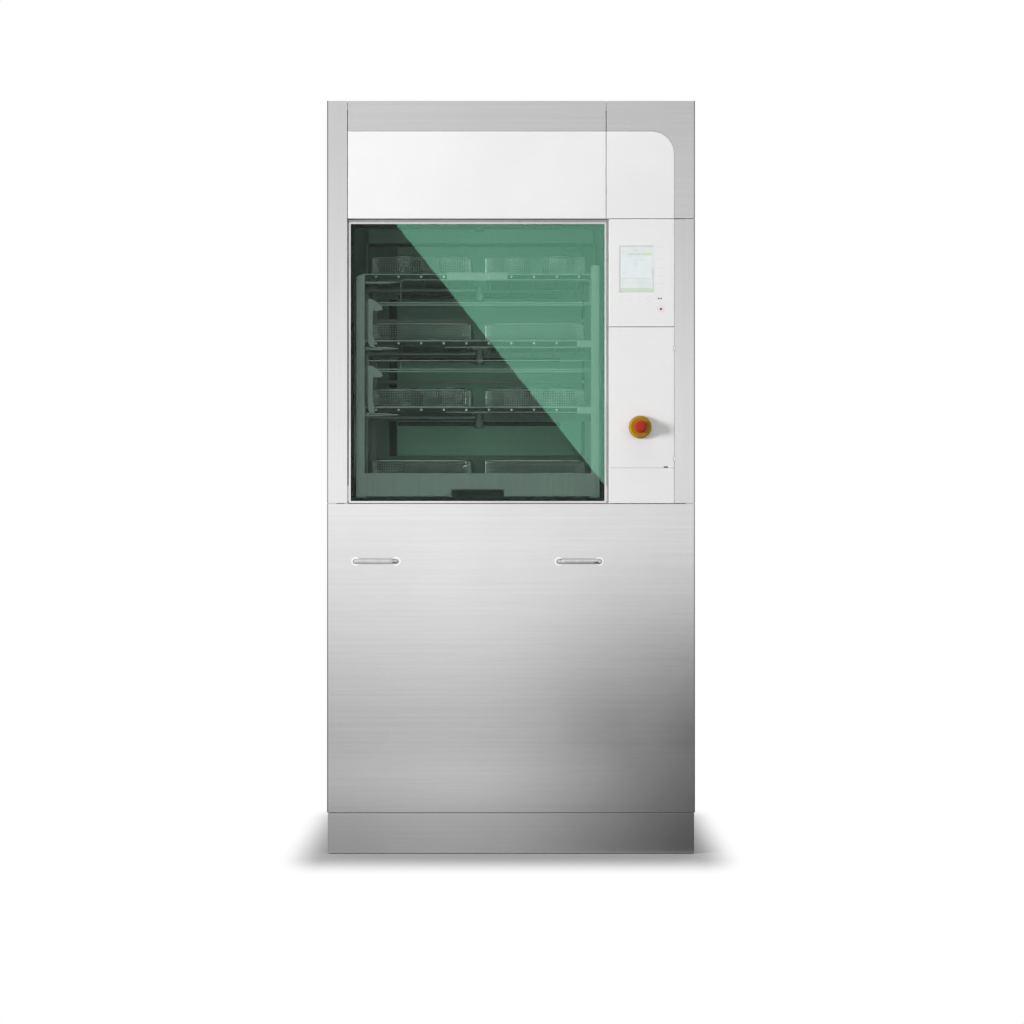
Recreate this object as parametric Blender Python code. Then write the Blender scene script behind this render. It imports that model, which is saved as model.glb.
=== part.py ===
"""A free-standing washer-disinfector whose glass door sinks behind the lower front panel.

Metres, +Z up. The front faces -Y, and +X is to the right as one stands before it. The origin is
on the floor, under the middle of the overall box. Every piece hangs from the empty front_datum,
so a piece's own Y is its distance behind the front face.
"""

import math

import bmesh
import bpy
from mathutils import Matrix, Vector

# Overall size of the cabinet. Its height is the sum of the heights on its front
body_width = 0.900
body_depth = 0.700
plinth_height = 0.100
plinth_setback = 0.002

# Sheet metal, tube and the gaps between pieces
sheet = 0.0015
seam = 0.0015
seat_gap = 0.0003
pan_depth = 0.016
side_pan_depth = 0.022
tube = 0.030
bar_thickness = 0.006
overrun = 0.002
merge_distance = 0.000001
round_sides = 20

# Front layout
column_width = 0.0495
control_width = 0.159
lower_panel_height = 0.755
service_cover_height = 0.0855
service_door_height = 0.3435
control_height = 0.263
header_height = 0.2875
fascia_height = 0.2135
fascia_radius = 0.055
fascia_joint = 0.0004
header_split = 0.0065
door_side_gap = 0.005
door_top_gap = 0.0055

# Sliding door, its guides and its belts
door_inset = 0.026
door_rim = 0.0054
door_lip = 0.012
door_lip_depth = 0.006
glass_thickness = 0.0135
tongue_reach = 0.008
tongue_thickness = 0.005
guide_wall = 0.003
guide_clearance = 0.0005
guide_foot_rise = 0.020
lug_reach = 0.040
lug_thickness = 0.0035
lug_height = 0.040
lug_rise = 0.004
belt_width = 0.012
belt_thickness = 0.003
belt_offset = 0.026
pulley_radius = 0.022
pulley_flange = 0.0015
pulley_flange_rise = 0.0015
shaft_radius = 0.008
bearing_plate = 0.004
bearing_reach = 0.013
idler_rise = 0.0388
drive_height = 0.1005
door_floor_gap = 0.0027
counterweight_width = 0.026
counterweight_depth = 0.030
counterweight_height = 0.620
counterweight_rise = 0.035
counterweight_edge = 0.003
motor_length = 0.090
motor_radius = 0.034
gearbox_length = 0.034
gearbox_size = 0.074

# Wash chamber
opening_lap = 0.011
opening_radius = 0.010
chamber_lip = 0.004
chamber_wall = 0.002
chamber_radius = 0.026
chamber_below_door = 0.010
chamber_above_door = 0.051
chamber_rear_space = 0.050
flange_reach = 0.020
seal_width = 0.008
seal_thickness = 0.0074
sump_radius = 0.120
sump_foot_radius = 0.090
sump_depth = 0.086
drain_radius = 0.016
cart_rail_width = 0.022
cart_rail_height = 0.0267
strainer_radius = 0.134
strainer_thickness = 0.002
strainer_slots = 10
heater_ring_radius = 0.066
heater_rod_radius = 0.0045

# Spray arms
arm_reach = 0.210
arm_thickness = 0.010
arm_root = 0.013
arm_tip = 0.009
arm_edge = 0.002
hub_radius = 0.014
hub_height = 0.018
pin_radius = 0.006
pin_clearance = 0.0003
pin_head_radius = 0.010
pin_head_height = 0.003
feed_radius = 0.012

# Wash cart and baskets
cart_side_gap = 0.009
cart_front_gap = 0.012
cart_rear_gap = 0.020
cart_post_width = 0.020
cart_plate_height = 0.057
cart_plate = 0.003
cart_notch_width = 0.130
cart_notch_height = 0.0175
cart_runner_height = 0.018
shelf_count = 3
shelf_first_rise = 0.2215
shelf_pitch = 0.1645
shelf_bar_height = 0.015
shelf_bar = 0.005
cart_post_rise = 0.020
guard_drop = 0.070
guard_height = 0.008
pipe_radius = 0.007
pipe_drop = 0.016
basket_width = 0.250
basket_length = 0.480
basket_height = 0.045
basket_radius = 0.022
basket_wall = 0.0012
basket_between = 0.034
basket_floor_drop = 0.012

# Controls on the right-hand side
display_width = 0.0864
display_height = 0.1152
display_left = 0.0245
display_drop = 0.060
display_housing_margin = 0.009
display_housing_depth = 0.026
display_gap = 0.0004
lamp_radius = 0.003
lamp_length = 0.016
lamp_right = 0.0325
lamp_foot_rise = 0.043
lamp_rise = 0.001
hinge_barrel_radius = 0.0025
hinge_barrel_height = 0.012
hinge_upper_drop = 0.058
hinge_lower_rise = 0.015
latch_notch_width = 0.010
latch_notch_height = 0.003
latch_notch_right = 0.015

# Emergency stop
estop_shift = -0.004
estop_rise = 0.099
estop_collar_radius = 0.028
estop_collar_front_radius = 0.023
estop_collar_height = 0.016
estop_collar_edge = 0.007
estop_stem_radius = 0.0075
estop_stem_clearance = 0.0004
estop_stem_tail = 0.012
estop_cap_radius = 0.0155
estop_cap_height = 0.014
estop_cap_edge = 0.004
estop_travel = 0.006
estop_block_size = 0.034
estop_block_depth = 0.030
estop_reach = estop_collar_height + estop_travel + estop_cap_height

# Docking bars for the transfer trolley
docking_bar_length = 0.112
docking_bar_radius = 0.006
docking_bar_reach = 0.045
docking_bar_bend = 0.014
docking_bar_drop = 0.1405
docking_bar_inset = 0.002
docking_foot_radius = 0.011
docking_foot_height = 0.003

# Levelling feet
foot_pad_radius = 0.024
foot_pad_height = 0.008
foot_spindle_radius = 0.008
foot_nut_radius = 0.014
foot_nut_height = 0.010
foot_edge = 0.055

# Process units behind the panels
pump_body_radius = 0.075
pump_body_length = 0.055
pump_motor_radius = 0.058
pump_motor_length = 0.170
pump_drop = 0.150
pump_pipe_radius = 0.020
pump_pipe_flange = 0.032
pump_flange_thickness = 0.006
dosing_width = 0.100
dosing_depth = 0.026
dosing_height = 0.240
dosing_head_radius = 0.030
dosing_head_depth = 0.022
dosing_head_pitch = 0.074
dosing_head_count = 3
dosing_rise = 0.140
cabinet_width = 0.130
cabinet_depth = 0.320
cabinet_height = 0.420
cabinet_lid = 0.004
cabinet_lid_margin = 0.008
cabinet_rise = 0.060
dryer_box_width = 0.260
dryer_box_depth = 0.260
dryer_box_height = 0.070
dryer_scroll_radius = 0.085
dryer_scroll_height = 0.060
dryer_duct_radius = 0.040
dryer_duct_height = 0.030
dryer_rear_gap = 0.060

# Places that follow from the sizes above: X
left_x = -body_width / 2
right_x = body_width / 2
column_inner_x = left_x + column_width
door_x0 = column_inner_x + seam
control_x1 = right_x - column_width - seam
control_x0 = control_x1 - control_width
door_x1 = control_x0 - door_side_gap
door_width = door_x1 - door_x0
door_centre_x = (door_x0 + door_x1) / 2
header_split_x = control_x0 - header_split
post_x1 = right_x - side_pan_depth - seat_gap
middle_post_x0 = control_x0 + side_pan_depth
opening_width = door_width - 2 * opening_lap
chamber_width = opening_width + 2 * chamber_lip
flange_width = chamber_width + 2 * flange_reach
belt_shift_x = door_width / 2 + belt_offset + belt_width / 2

# Z
lower_panel_z0 = plinth_height + seam
lower_panel_z1 = lower_panel_z0 + lower_panel_height
door_z0 = lower_panel_z1 + seam
cover_z1 = door_z0 + service_cover_height
service_z0 = cover_z1 + seam
control_z0 = service_z0 + service_door_height + seam
control_z1 = control_z0 + control_height
header_z0 = control_z1 + seam
body_height = header_z0 + header_height
door_z1 = header_z0 - door_top_gap
door_height = door_z1 - door_z0
fascia_z1 = header_z0 + fascia_height
side_z1 = body_height - side_pan_depth - seat_gap
ring_z1 = lower_panel_z0 - seat_gap
ring_z0 = ring_z1 - tube
frame_z1 = side_z1 - sheet - seat_gap
drive_z = header_z0 + drive_height
idler_z = ring_z1 + idler_rise
guide_foot_z = idler_z + guide_foot_rise
belt_outer_radius = pulley_radius + seat_gap + belt_thickness
door_lowest_z = idler_z + belt_outer_radius + door_floor_gap
door_travel = door_z0 - door_lowest_z
chamber_z0 = door_z0 - chamber_below_door
chamber_z1 = door_z1 + chamber_above_door
opening_z0 = door_z0 + opening_lap
opening_height = door_height - 2 * opening_lap
cart_z0 = chamber_z0 + cart_rail_height + seat_gap
cart_base_z1 = cart_z0 + cart_plate_height
shelf_z = [cart_z0 + shelf_first_rise + level * shelf_pitch for level in range(shelf_count)]

# Y, counted from the front face
seat_inset = pan_depth + seat_gap
rear_inset = body_depth - pan_depth
frame_rear_inset = rear_inset - seat_gap
belt_inset = door_inset + lug_thickness + seat_gap
shaft_inset = belt_inset + belt_thickness + seat_gap + pulley_radius
counterweight_inset = shaft_inset + belt_outer_radius + seat_gap
post_inset = counterweight_inset + counterweight_depth + overrun
door_depth = glass_thickness + door_lip_depth + 2 * seat_gap
flange_inset = door_inset + door_depth + seal_thickness + 2 * seat_gap
chamber_rear_inset = body_depth - chamber_rear_space
cart_inset0 = flange_inset + cart_front_gap
cart_inset1 = chamber_rear_inset - cart_rear_gap
cart_centre_inset = (cart_inset0 + cart_inset1) / 2
front_reach = max(estop_reach, docking_bar_reach)
front_y = (front_reach - body_depth) / 2

bright_angle = math.radians(35)
half_turn = math.pi
axis_directions = {"X": Vector((1, 0, 0)), "Y": Vector((0, 1, 0)), "Z": Vector((0, 0, 1))}


def clear_scene():
    for item in list(bpy.data.objects):
        bpy.data.objects.remove(item, do_unlink=True)


def make_finish(name, colour, roughness, metallic, alpha=1.0):
    """A Principled material with the colour and polish of one real finish."""
    finish = bpy.data.materials.new(name)
    finish.use_nodes = True
    shader = finish.node_tree.nodes["Principled BSDF"]
    shader.inputs["Base Color"].default_value = (*colour, 1.0)
    shader.inputs["Roughness"].default_value = roughness
    shader.inputs["Metallic"].default_value = metallic
    shader.inputs["Alpha"].default_value = alpha
    finish.diffuse_color = (*colour, alpha)
    return finish


def make_empty(name, location, parent=None):
    empty = bpy.data.objects.new(name, None)
    empty.location = location
    empty.parent = parent
    bpy.context.scene.collection.objects.link(empty)
    return empty


def make_node(name, solid, finish, location=(0, 0, 0), parent=None, round_piece=False):
    """Turn a bmesh solid into one named object, carried by its parent."""
    bmesh.ops.recalc_face_normals(solid, faces=solid.faces)
    mesh = bpy.data.meshes.new(name)
    solid.to_mesh(mesh)
    solid.free()
    node = bpy.data.objects.new(name, mesh)
    node.location = location
    node.parent = parent or front_datum
    mesh.materials.append(finish)
    bpy.context.scene.collection.objects.link(node)
    if round_piece:
        mesh.shade_smooth()
        mesh.set_sharp_from_angle(angle=bright_angle)
    return node


def apply_booleans(node, tools, operation):
    """Join the tools to the node, or cut them out of it, and take the tools away."""
    for tool in tools:
        change = node.modifiers.new(operation, "BOOLEAN")
        change.operation = operation
        change.solver = "EXACT"
        change.object = tool
    bpy.context.view_layer.update()
    graph = bpy.context.evaluated_depsgraph_get()
    result = bpy.data.meshes.new_from_object(node.evaluated_get(graph))
    node.modifiers.clear()
    node.data = result
    for tool in tools:
        bpy.data.objects.remove(tool, do_unlink=True)


def weld(name, solids, finish, cuts=(), location=(0, 0, 0), parent=None, round_piece=False):
    """One node made of several solids welded together, less the cuts."""
    node = make_node(name, solids[0], finish, location, parent)
    added = [make_node("added", solid, finish, location, parent) for solid in solids[1:]]
    apply_booleans(node, added, "UNION")
    removed = [make_node("removed", solid, finish, location, parent) for solid in cuts]
    if removed:
        apply_booleans(node, removed, "DIFFERENCE")
    if round_piece:
        node.data.shade_smooth()
        node.data.set_sharp_from_angle(angle=bright_angle)
    return node


def moved(solid, x=0.0, y=0.0, z=0.0):
    bmesh.ops.translate(solid, verts=solid.verts, vec=(x, y, z))
    return solid


def turned_over(solid, angle, axis):
    bmesh.ops.rotate(solid, verts=solid.verts, cent=(0, 0, 0), matrix=Matrix.Rotation(angle, 3, axis))
    return solid


def lay_out(outline, axis):
    """The outline's points in space, in the plane square to the axis."""
    if axis == "X":
        return [(0, a, b) for a, b in outline]
    if axis == "Y":
        return [(a, 0, b) for a, b in outline]
    return [(a, b, 0) for a, b in outline]


def push_face(solid, face, vector):
    """Extrude one face along a vector and return the face that moved."""
    pushed = bmesh.ops.extrude_face_region(solid, geom=[face])["geom"]
    bmesh.ops.translate(solid, verts=[v for v in pushed if isinstance(v, bmesh.types.BMVert)], vec=vector)
    if face.is_valid and len([e for e in face.edges if len(e.link_faces) > 2]) > 0:
        solid.faces.remove(face)
    return next(f for f in pushed if isinstance(f, bmesh.types.BMFace))


def prism(outline, depth, axis="Y"):
    """A solid with a flat outline, from zero to depth along the axis."""
    solid = bmesh.new()
    face = solid.faces.new([solid.verts.new(point) for point in lay_out(outline, axis)])
    push_face(solid, face, axis_directions[axis] * depth)
    return solid


def block(x0, x1, y0, y1, z0, z1):
    return moved(prism(rectangle(x0, x1, z0, z1), y1 - y0), y=y0)


def pan(outline, depth, wall, axis="Y"):
    """A folded sheet pan: a face sheet at zero, with walls that stand up to the open side."""
    solid = prism(outline, depth, axis)
    direction = axis_directions[axis]
    solid.normal_update()
    floor = max(solid.faces, key=lambda face: face.calc_center_median().dot(direction))
    bmesh.ops.inset_region(solid, faces=[floor], thickness=wall, use_even_offset=True)
    push_face(solid, floor, direction * (wall - depth))
    return solid


def ring(outer, inner, depth, axis="Y"):
    """A solid between two outlines of as many points, from zero to depth along the axis."""
    solid = bmesh.new()
    step = axis_directions[axis] * depth
    loops = []
    for outline, shift in ((outer, 0), (outer, 1), (inner, 1), (inner, 0)):
        points = [Vector(point) + step * shift for point in lay_out(outline, axis)]
        loops.append([solid.verts.new(point) for point in points])
    count = len(outer)
    for loop, after in zip(loops, loops[1:] + loops[:1]):
        for i in range(count):
            k = (i + 1) % count
            solid.faces.new((loop[i], loop[k], after[k], after[i]))
    return solid


def turned(profile, sides=round_sides, axis="Z"):
    """A turned solid. The profile's points are radius and height, from one end to the other."""
    solid = bmesh.new()
    verts = [solid.verts.new((radius, 0, height)) for radius, height in profile]
    edges = [solid.edges.new(pair) for pair in zip(verts, verts[1:])]
    if profile[0][0] > 0:
        edges.append(solid.edges.new((verts[-1], verts[0])))
    bmesh.ops.spin(solid, geom=verts + edges, cent=(0, 0, 0), axis=axis_directions["Z"],
                   angle=2 * half_turn, steps=sides)
    bmesh.ops.remove_doubles(solid, verts=solid.verts, dist=merge_distance)
    if axis == "X":
        turned_over(solid, half_turn / 2, "Y")
    if axis == "Y":
        turned_over(solid, -half_turn / 2, "X")
    return solid


def cylinder(radius, low, high, sides=round_sides, axis="Z"):
    return turned(((0, low), (radius, low), (radius, high), (0, high)), sides, axis)


def rectangle(a0, a1, b0, b1):
    return [(a0, b0), (a1, b0), (a1, b1), (a0, b1)]


def arc(centre_a, centre_b, radius, start, end, steps):
    """Points along an arc, by angles in degrees."""
    points = []
    for i in range(steps + 1):
        angle = math.radians(start + (end - start) * i / steps)
        points.append((centre_a + radius * math.cos(angle), centre_b + radius * math.sin(angle)))
    return points


def rounded(a0, a1, b0, b1, radius, steps=4):
    """A rectangle with round corners, counter-clockwise."""
    low_a, high_a = a0 + radius, a1 - radius
    low_b, high_b = b0 + radius, b1 - radius
    return (
        arc(high_a, low_b, radius, -90, 0, steps)
        + arc(high_a, high_b, radius, 0, 90, steps)
        + arc(low_a, high_b, radius, 90, 180, steps)
        + arc(low_a, low_b, radius, 180, 270, steps)
    )


def swept_rod(points, radius, sides=12):
    """A round rod along a list of points in a level plane, with flat ends."""
    solid = bmesh.new()
    path = [Vector(point) for point in points]
    side = axis_directions["Z"]
    loops = []
    for i, point in enumerate(path):
        along = (path[min(i + 1, len(path) - 1)] - path[max(i - 1, 0)]).normalized()
        other = along.cross(side)
        loop = []
        for k in range(sides):
            angle = 2 * half_turn * k / sides
            loop.append(solid.verts.new(point + (side * math.cos(angle) + other * math.sin(angle)) * radius))
        loops.append(loop)
    for loop, after in zip(loops, loops[1:]):
        for k in range(sides):
            n = (k + 1) % sides
            solid.faces.new((loop[k], loop[n], after[n], after[k]))
    solid.faces.new(reversed(loops[0]))
    solid.faces.new(loops[-1])
    return solid


def front_pan(name, x0, x1, z0, z1, finish):
    """One flat front panel, folded back all round."""
    solid = pan(rectangle(0, x1 - x0, 0, z1 - z0), pan_depth, sheet)
    return make_node(name, solid, finish, (x0, 0, z0))


def build_base_frame():
    """Welded frame of square tube, with the flat bars that carry the front panels."""
    outer = right_x - plinth_setback - sheet - seat_gap
    ring_front = seat_inset + bar_thickness / 2
    ring_rear = body_depth - plinth_setback - sheet - seat_gap
    ring_plan = (rectangle(-outer, outer, ring_front, ring_rear),
                 rectangle(-outer + tube, outer - tube, ring_front + tube, ring_rear - tube))
    top_plan = (rectangle(-post_x1, post_x1, seat_inset, frame_rear_inset),
                rectangle(-post_x1 + tube, post_x1 - tube, seat_inset + tube, frame_rear_inset - tube))
    solids = [moved(ring(*ring_plan, tube, "Z"), z=ring_z0),
              moved(ring(*top_plan, tube, "Z"), z=frame_z1 - tube)]
    post_rows = ((post_inset, post_inset + tube), (frame_rear_inset - tube, frame_rear_inset))
    for near, far in post_rows:
        for x0 in (-post_x1, middle_post_x0, post_x1 - tube):
            solids.append(block(x0, x0 + tube, near, far, ring_z1 - overrun, frame_z1 - tube + overrun))
        floor_z = chamber_z0 - chamber_wall - seat_gap
        solids.append(block(-post_x1 + overrun, post_x1 - overrun, near + overrun, far - overrun,
                            floor_z - tube, floor_z))
        for z in (ring_z0, frame_z1 - tube):
            solids.append(block(-post_x1 + overrun, post_x1 - overrun, near + overrun, far - overrun,
                                z + overrun, z + tube - overrun))
    solids.append(block(-post_x1 + overrun, post_x1 - overrun, post_inset + overrun,
                        post_inset + tube - overrun, drive_z - tube / 2, drive_z + tube / 2))
    bar_y = (seat_inset, seat_inset + bar_thickness)
    bar = tube / 2
    for x0, x1 in ((-post_x1, -post_x1 + bar), (post_x1 - bar, post_x1),
                   (door_x1 + seam, control_x0 + bar)):
        solids.append(block(x0, x1, *bar_y, ring_z0 + overrun, frame_z1 - overrun))
    for z0 in (header_z0 + sheet, door_z0 - sheet - tube):
        solids.append(block(-post_x1 + overrun, post_x1 - overrun, bar_y[0] + seat_gap, bar_y[1] - seat_gap,
                            z0, z0 + tube))
    cuts = []
    for plate_x in bearing_plates():
        x0, x1 = plate_x - bearing_plate / 2, plate_x + bearing_plate / 2
        front = shaft_inset - bearing_reach
        solids.append(block(x0, x1, front, post_inset + overrun * 2,
                            drive_z - bearing_reach, drive_z + bearing_reach))
        solids.append(block(x0, x1, front, shaft_inset + bearing_reach, ring_z1 - overrun * 2,
                            idler_z + bearing_reach))
        for z in (drive_z, idler_z):
            hole = cylinder(shaft_radius + seat_gap, x0 - overrun, x1 + overrun, axis="X")
            cuts.append(moved(hole, y=shaft_inset, z=z))
    foot_tie = ring_front + tube - overrun
    for plate_x in bearing_plates():
        solids.append(block(plate_x - tube / 2, plate_x + tube / 2, foot_tie, post_inset + overrun * 2,
                            ring_z0 + overrun, ring_z1 - overrun))
    weld("base_frame", solids, steel, cuts)


def bearing_plates():
    """The middles of the two plates that carry each shaft: left, and right beyond the belt."""
    clear = belt_width / 2 + pulley_flange + seat_gap + bearing_plate / 2 + overrun
    return (door_centre_x - belt_shift_x + clear, door_centre_x + belt_shift_x + clear)


def build_feet():
    top = ring_z0 - seat_gap
    nut_z0 = top - foot_nut_height - overrun
    cone_z1 = foot_pad_height + foot_spindle_radius
    profile = ((0, 0), (foot_pad_radius, 0), (foot_pad_radius, foot_pad_height / 2),
               (foot_nut_radius, foot_pad_height), (foot_spindle_radius, cone_z1),
               (foot_spindle_radius, nut_z0), (foot_nut_radius, nut_z0),
               (foot_nut_radius, nut_z0 + foot_nut_height), (foot_spindle_radius, nut_z0 + foot_nut_height),
               (foot_spindle_radius, top), (0, top))
    side_x = right_x - plinth_setback - sheet - foot_pad_radius - seam
    rows = {"front": foot_edge, "rear": body_depth - foot_edge}
    for side, x in (("left", -side_x), ("right", side_x)):
        for row, y in rows.items():
            make_node(f"foot_{row}_{side}", turned(profile, 16), zinc, (x, y, 0), round_piece=True)


def build_outer_panels():
    """Plinth skirt, side panels, rear panel and top panel: folded sheet."""
    x1 = right_x - plinth_setback
    y0, y1 = plinth_setback, body_depth - plinth_setback
    skirt = ring(rectangle(-x1, x1, y0, y1), rectangle(-x1 + sheet, x1 - sheet, y0 + sheet, y1 - sheet),
                 plinth_height - plinth_setback, "Z")
    make_node("plinth_panel", skirt, stainless, (0, 0, plinth_setback))
    depth = rear_inset - seat_gap - seat_inset
    height = side_z1 - lower_panel_z0
    left = pan(rectangle(0, depth, 0, height), side_pan_depth, sheet, "X")
    make_node("left_side_panel", left, stainless, (left_x, seat_inset, lower_panel_z0))
    right = turned_over(pan(rectangle(-depth, 0, 0, height), side_pan_depth, sheet, "X"), half_turn, "Z")
    make_node("right_side_panel", right, stainless, (right_x, seat_inset, lower_panel_z0))
    rear = turned_over(pan(rectangle(0, body_width, 0, height), pan_depth, sheet), half_turn, "Z")
    make_node("rear_panel", rear, stainless, (right_x, body_depth, lower_panel_z0))
    top_plan = rectangle(0, body_width, -(body_depth - seat_inset), 0)
    top = turned_over(pan(top_plan, side_pan_depth, sheet, "Z"), half_turn, "X")
    make_node("top_panel", top, stainless, (left_x, seat_inset, body_height))


def build_front_panels():
    """Stainless columns, header and lower panel, and the white fascias let into the header."""
    front_pan("left_column", left_x, column_inner_x, door_z0, body_height, stainless)
    front_pan("lower_front_panel", left_x, right_x, lower_panel_z0, lower_panel_z1, stainless)
    split_left = header_split_x - seam
    front_pan("header_panel", door_x0, split_left, fascia_z1, body_height, stainless)
    front_pan("fascia_left", door_x0, split_left, header_z0, fascia_z1 - fascia_joint, white)
    width = control_x1 - header_split_x
    height = fascia_height - fascia_joint
    corner = arc(width - fascia_radius, height - fascia_radius, fascia_radius, 0, 90, 10)
    white_outline = [(0, 0), (width, 0)] + corner + [(0, height)]
    make_node("fascia_right", pan(white_outline, pan_depth, sheet), white, (header_split_x, 0, header_z0))
    inner_x = width + fascia_joint
    inner_radius = fascia_radius + fascia_joint
    hollow = arc(width - fascia_radius, height - fascia_radius, inner_radius, 90, 0, 10)
    full_x = right_x - header_split_x
    outline = [(full_x, 0), (full_x, header_height), (0, header_height), (0, fascia_height)]
    outline += hollow + [(inner_x, 0)]
    make_node("header_corner", pan(outline, pan_depth, sheet), stainless, (header_split_x, 0, header_z0))


def hinge_places():
    """Heights of the two hinge barrels, above the foot of the service door."""
    return (hinge_lower_rise, service_door_height - hinge_upper_drop)


def build_right_column():
    """Stainless column that carries the two hinge barrels of the service door."""
    x0 = right_x - column_width
    column = pan(rectangle(0, column_width, 0, control_z1 - door_z0), pan_depth, sheet)
    solids = [column]
    for rise in hinge_places():
        barrel = cylinder(hinge_barrel_radius, 0, hinge_barrel_height, 12)
        solids.append(moved(barrel, x=-seam / 2, z=service_z0 - door_z0 + rise))
    weld("right_column", solids, stainless, location=(x0, 0, door_z0))


def build_control_panel():
    """White panel with the window for the display and the hole for the lamp."""
    panel = pan(rectangle(0, control_width, 0, control_height), pan_depth, sheet)
    window_z1 = control_height - display_drop
    window = block(display_left, display_left + display_width, -overrun, sheet + overrun,
                   window_z1 - display_height, window_z1)
    lamp_x = control_width - lamp_right
    lamp_hole = moved(cylinder(lamp_radius + seat_gap, -overrun, sheet + overrun, 16, "Y"),
                      x=lamp_x, z=lamp_foot_rise)
    place = (control_x0, 0, control_z0)
    weld("control_panel", [panel], white, [window, lamp_hole], place)
    glass = block(display_left + display_gap, display_left + display_width - display_gap, 0, sheet * 2,
                  window_z1 - display_height + display_gap, window_z1 - display_gap)
    margin = display_housing_margin
    housing = block(display_left - margin, display_left + display_width + margin, sheet + seat_gap,
                    display_housing_depth, window_z1 - display_height - margin, window_z1 + margin)
    weld("touch_display", [glass, housing], display_glass, location=place)
    lamp = turned(((0, -lamp_rise), (lamp_radius / 2, -lamp_rise), (lamp_radius, 0),
                   (lamp_radius, sheet + seat_gap), (lamp_radius * 2, sheet + seat_gap),
                   (lamp_radius * 2, lamp_length), (0, lamp_length)), 16, "Y")
    make_node("status_lamp", lamp, lamp_red, (control_x0 + lamp_x, 0, control_z0 + lamp_foot_rise),
              round_piece=True)


def build_service_door():
    """White door below the display, hung on the column, with the fixed cover below it."""
    hinge = make_empty("service_door_axis", (control_x1 + seam / 2, 0, service_z0), front_datum)
    x1 = -seam / 2
    x0 = x1 - control_width
    door = pan(rectangle(0, control_width, 0, service_door_height), pan_depth, sheet)
    cuts = []
    for rise in hinge_places():
        low, high = rise - seat_gap, rise + hinge_barrel_height + seat_gap
        cuts.append(cylinder(hinge_barrel_radius + seat_gap, low, high, 12))
    stop_x = x0 + control_width / 2 + estop_shift
    cuts.append(moved(cylinder(estop_stem_radius + estop_stem_clearance, -overrun, sheet + overrun, axis="Y"),
                      x=stop_x, z=estop_rise))
    notch_x1 = x1 - latch_notch_right
    cuts.append(block(notch_x1 - latch_notch_width, notch_x1, -overrun, pan_depth + overrun,
                      -overrun, latch_notch_height))
    weld("service_door", [moved(door, x=x0)], white, cuts, parent=hinge)
    build_estop(hinge, stop_x)
    front_pan("service_cover", control_x0, control_x1, door_z0, cover_z1, white)


def build_estop(hinge, stop_x):
    """Yellow collar, sliding stem, red mushroom cap that twists, and the contact block behind."""
    place = (stop_x, 0, estop_rise)
    bore = estop_stem_radius + estop_stem_clearance
    front = -estop_collar_height
    collar = turned(((bore, -seat_gap), (estop_collar_radius, -seat_gap),
                     (estop_collar_radius, -estop_collar_edge), (estop_collar_front_radius, front),
                     (bore, front)), 28, "Y")
    make_node("estop_collar", collar, safety_yellow, place, hinge, round_piece=True)
    stem_front = front - estop_travel
    stem = cylinder(estop_stem_radius, stem_front, estop_stem_tail, 16, "Y")
    make_node("estop_stem", stem, dark_plastic, place, hinge, round_piece=True)
    cap_back = stem_front - seat_gap
    cap_front = cap_back + seat_gap - estop_cap_height
    cap = turned(((0, cap_back), (estop_cap_radius - estop_cap_edge / 2, cap_back),
                  (estop_cap_radius, cap_back - estop_cap_edge),
                  (estop_cap_radius, cap_front + estop_cap_edge),
                  (estop_cap_radius - estop_cap_edge, cap_front + sheet / 2),
                  (estop_cap_radius / 2, cap_front), (0, cap_front)), 24, "Y")
    make_node("estop_cap", cap, safety_red, place, hinge, round_piece=True)
    half = estop_block_size / 2
    back = sheet + seat_gap
    body = block(-half, half, back, back + estop_block_depth, -half, half)
    well = cylinder(bore, -overrun, estop_stem_tail + estop_travel + overrun, 16, "Y")
    weld("estop_contact_block", [body], dark_plastic, [well], place, hinge)


def build_door():
    """The glass door: a slim rim, tongues that run in the guides, and lugs that grip the belts."""
    carriage = make_empty("door_carriage", (door_centre_x, door_inset, door_z0), front_datum)
    half = door_width / 2
    outline = rectangle(-half, half, 0, door_height)
    depth = door_depth
    rim = ring(outline, rectangle(-half + door_rim, half - door_rim, door_rim, door_height - door_rim), depth)
    lip_y0 = depth - door_lip_depth
    lip = ring(rectangle(-half + overrun, half - overrun, overrun, door_height - overrun),
               rectangle(-half + door_lip, half - door_lip, door_lip, door_height - door_lip), door_lip_depth)
    solids = [rim, moved(lip, y=lip_y0)]
    tongue_y0 = tongue_inset() - door_inset
    for side in (-1, 1):
        inner, outer = side * (half - overrun), side * (half + tongue_reach)
        solids.append(block(min(inner, outer), max(inner, outer), tongue_y0, tongue_y0 + tongue_thickness,
                            door_rim, door_height - door_rim))
        outer = side * (half + lug_reach)
        solids.append(block(min(inner, outer), max(inner, outer), 0, lug_thickness,
                            lug_rise, lug_rise + lug_height))
    weld("door_frame", solids, stainless, parent=carriage)
    edge = door_rim + seat_gap
    pane = prism(rectangle(-half + edge, half - edge, edge, door_height - edge), glass_thickness)
    make_node("door_glass", pane, green_glass, (0, seat_gap, 0), carriage)


def tongue_inset():
    """Where the door's tongues start, behind the lugs and the front wall of the guides."""
    return door_inset + lug_thickness + overrun + guide_wall + guide_clearance


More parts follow.
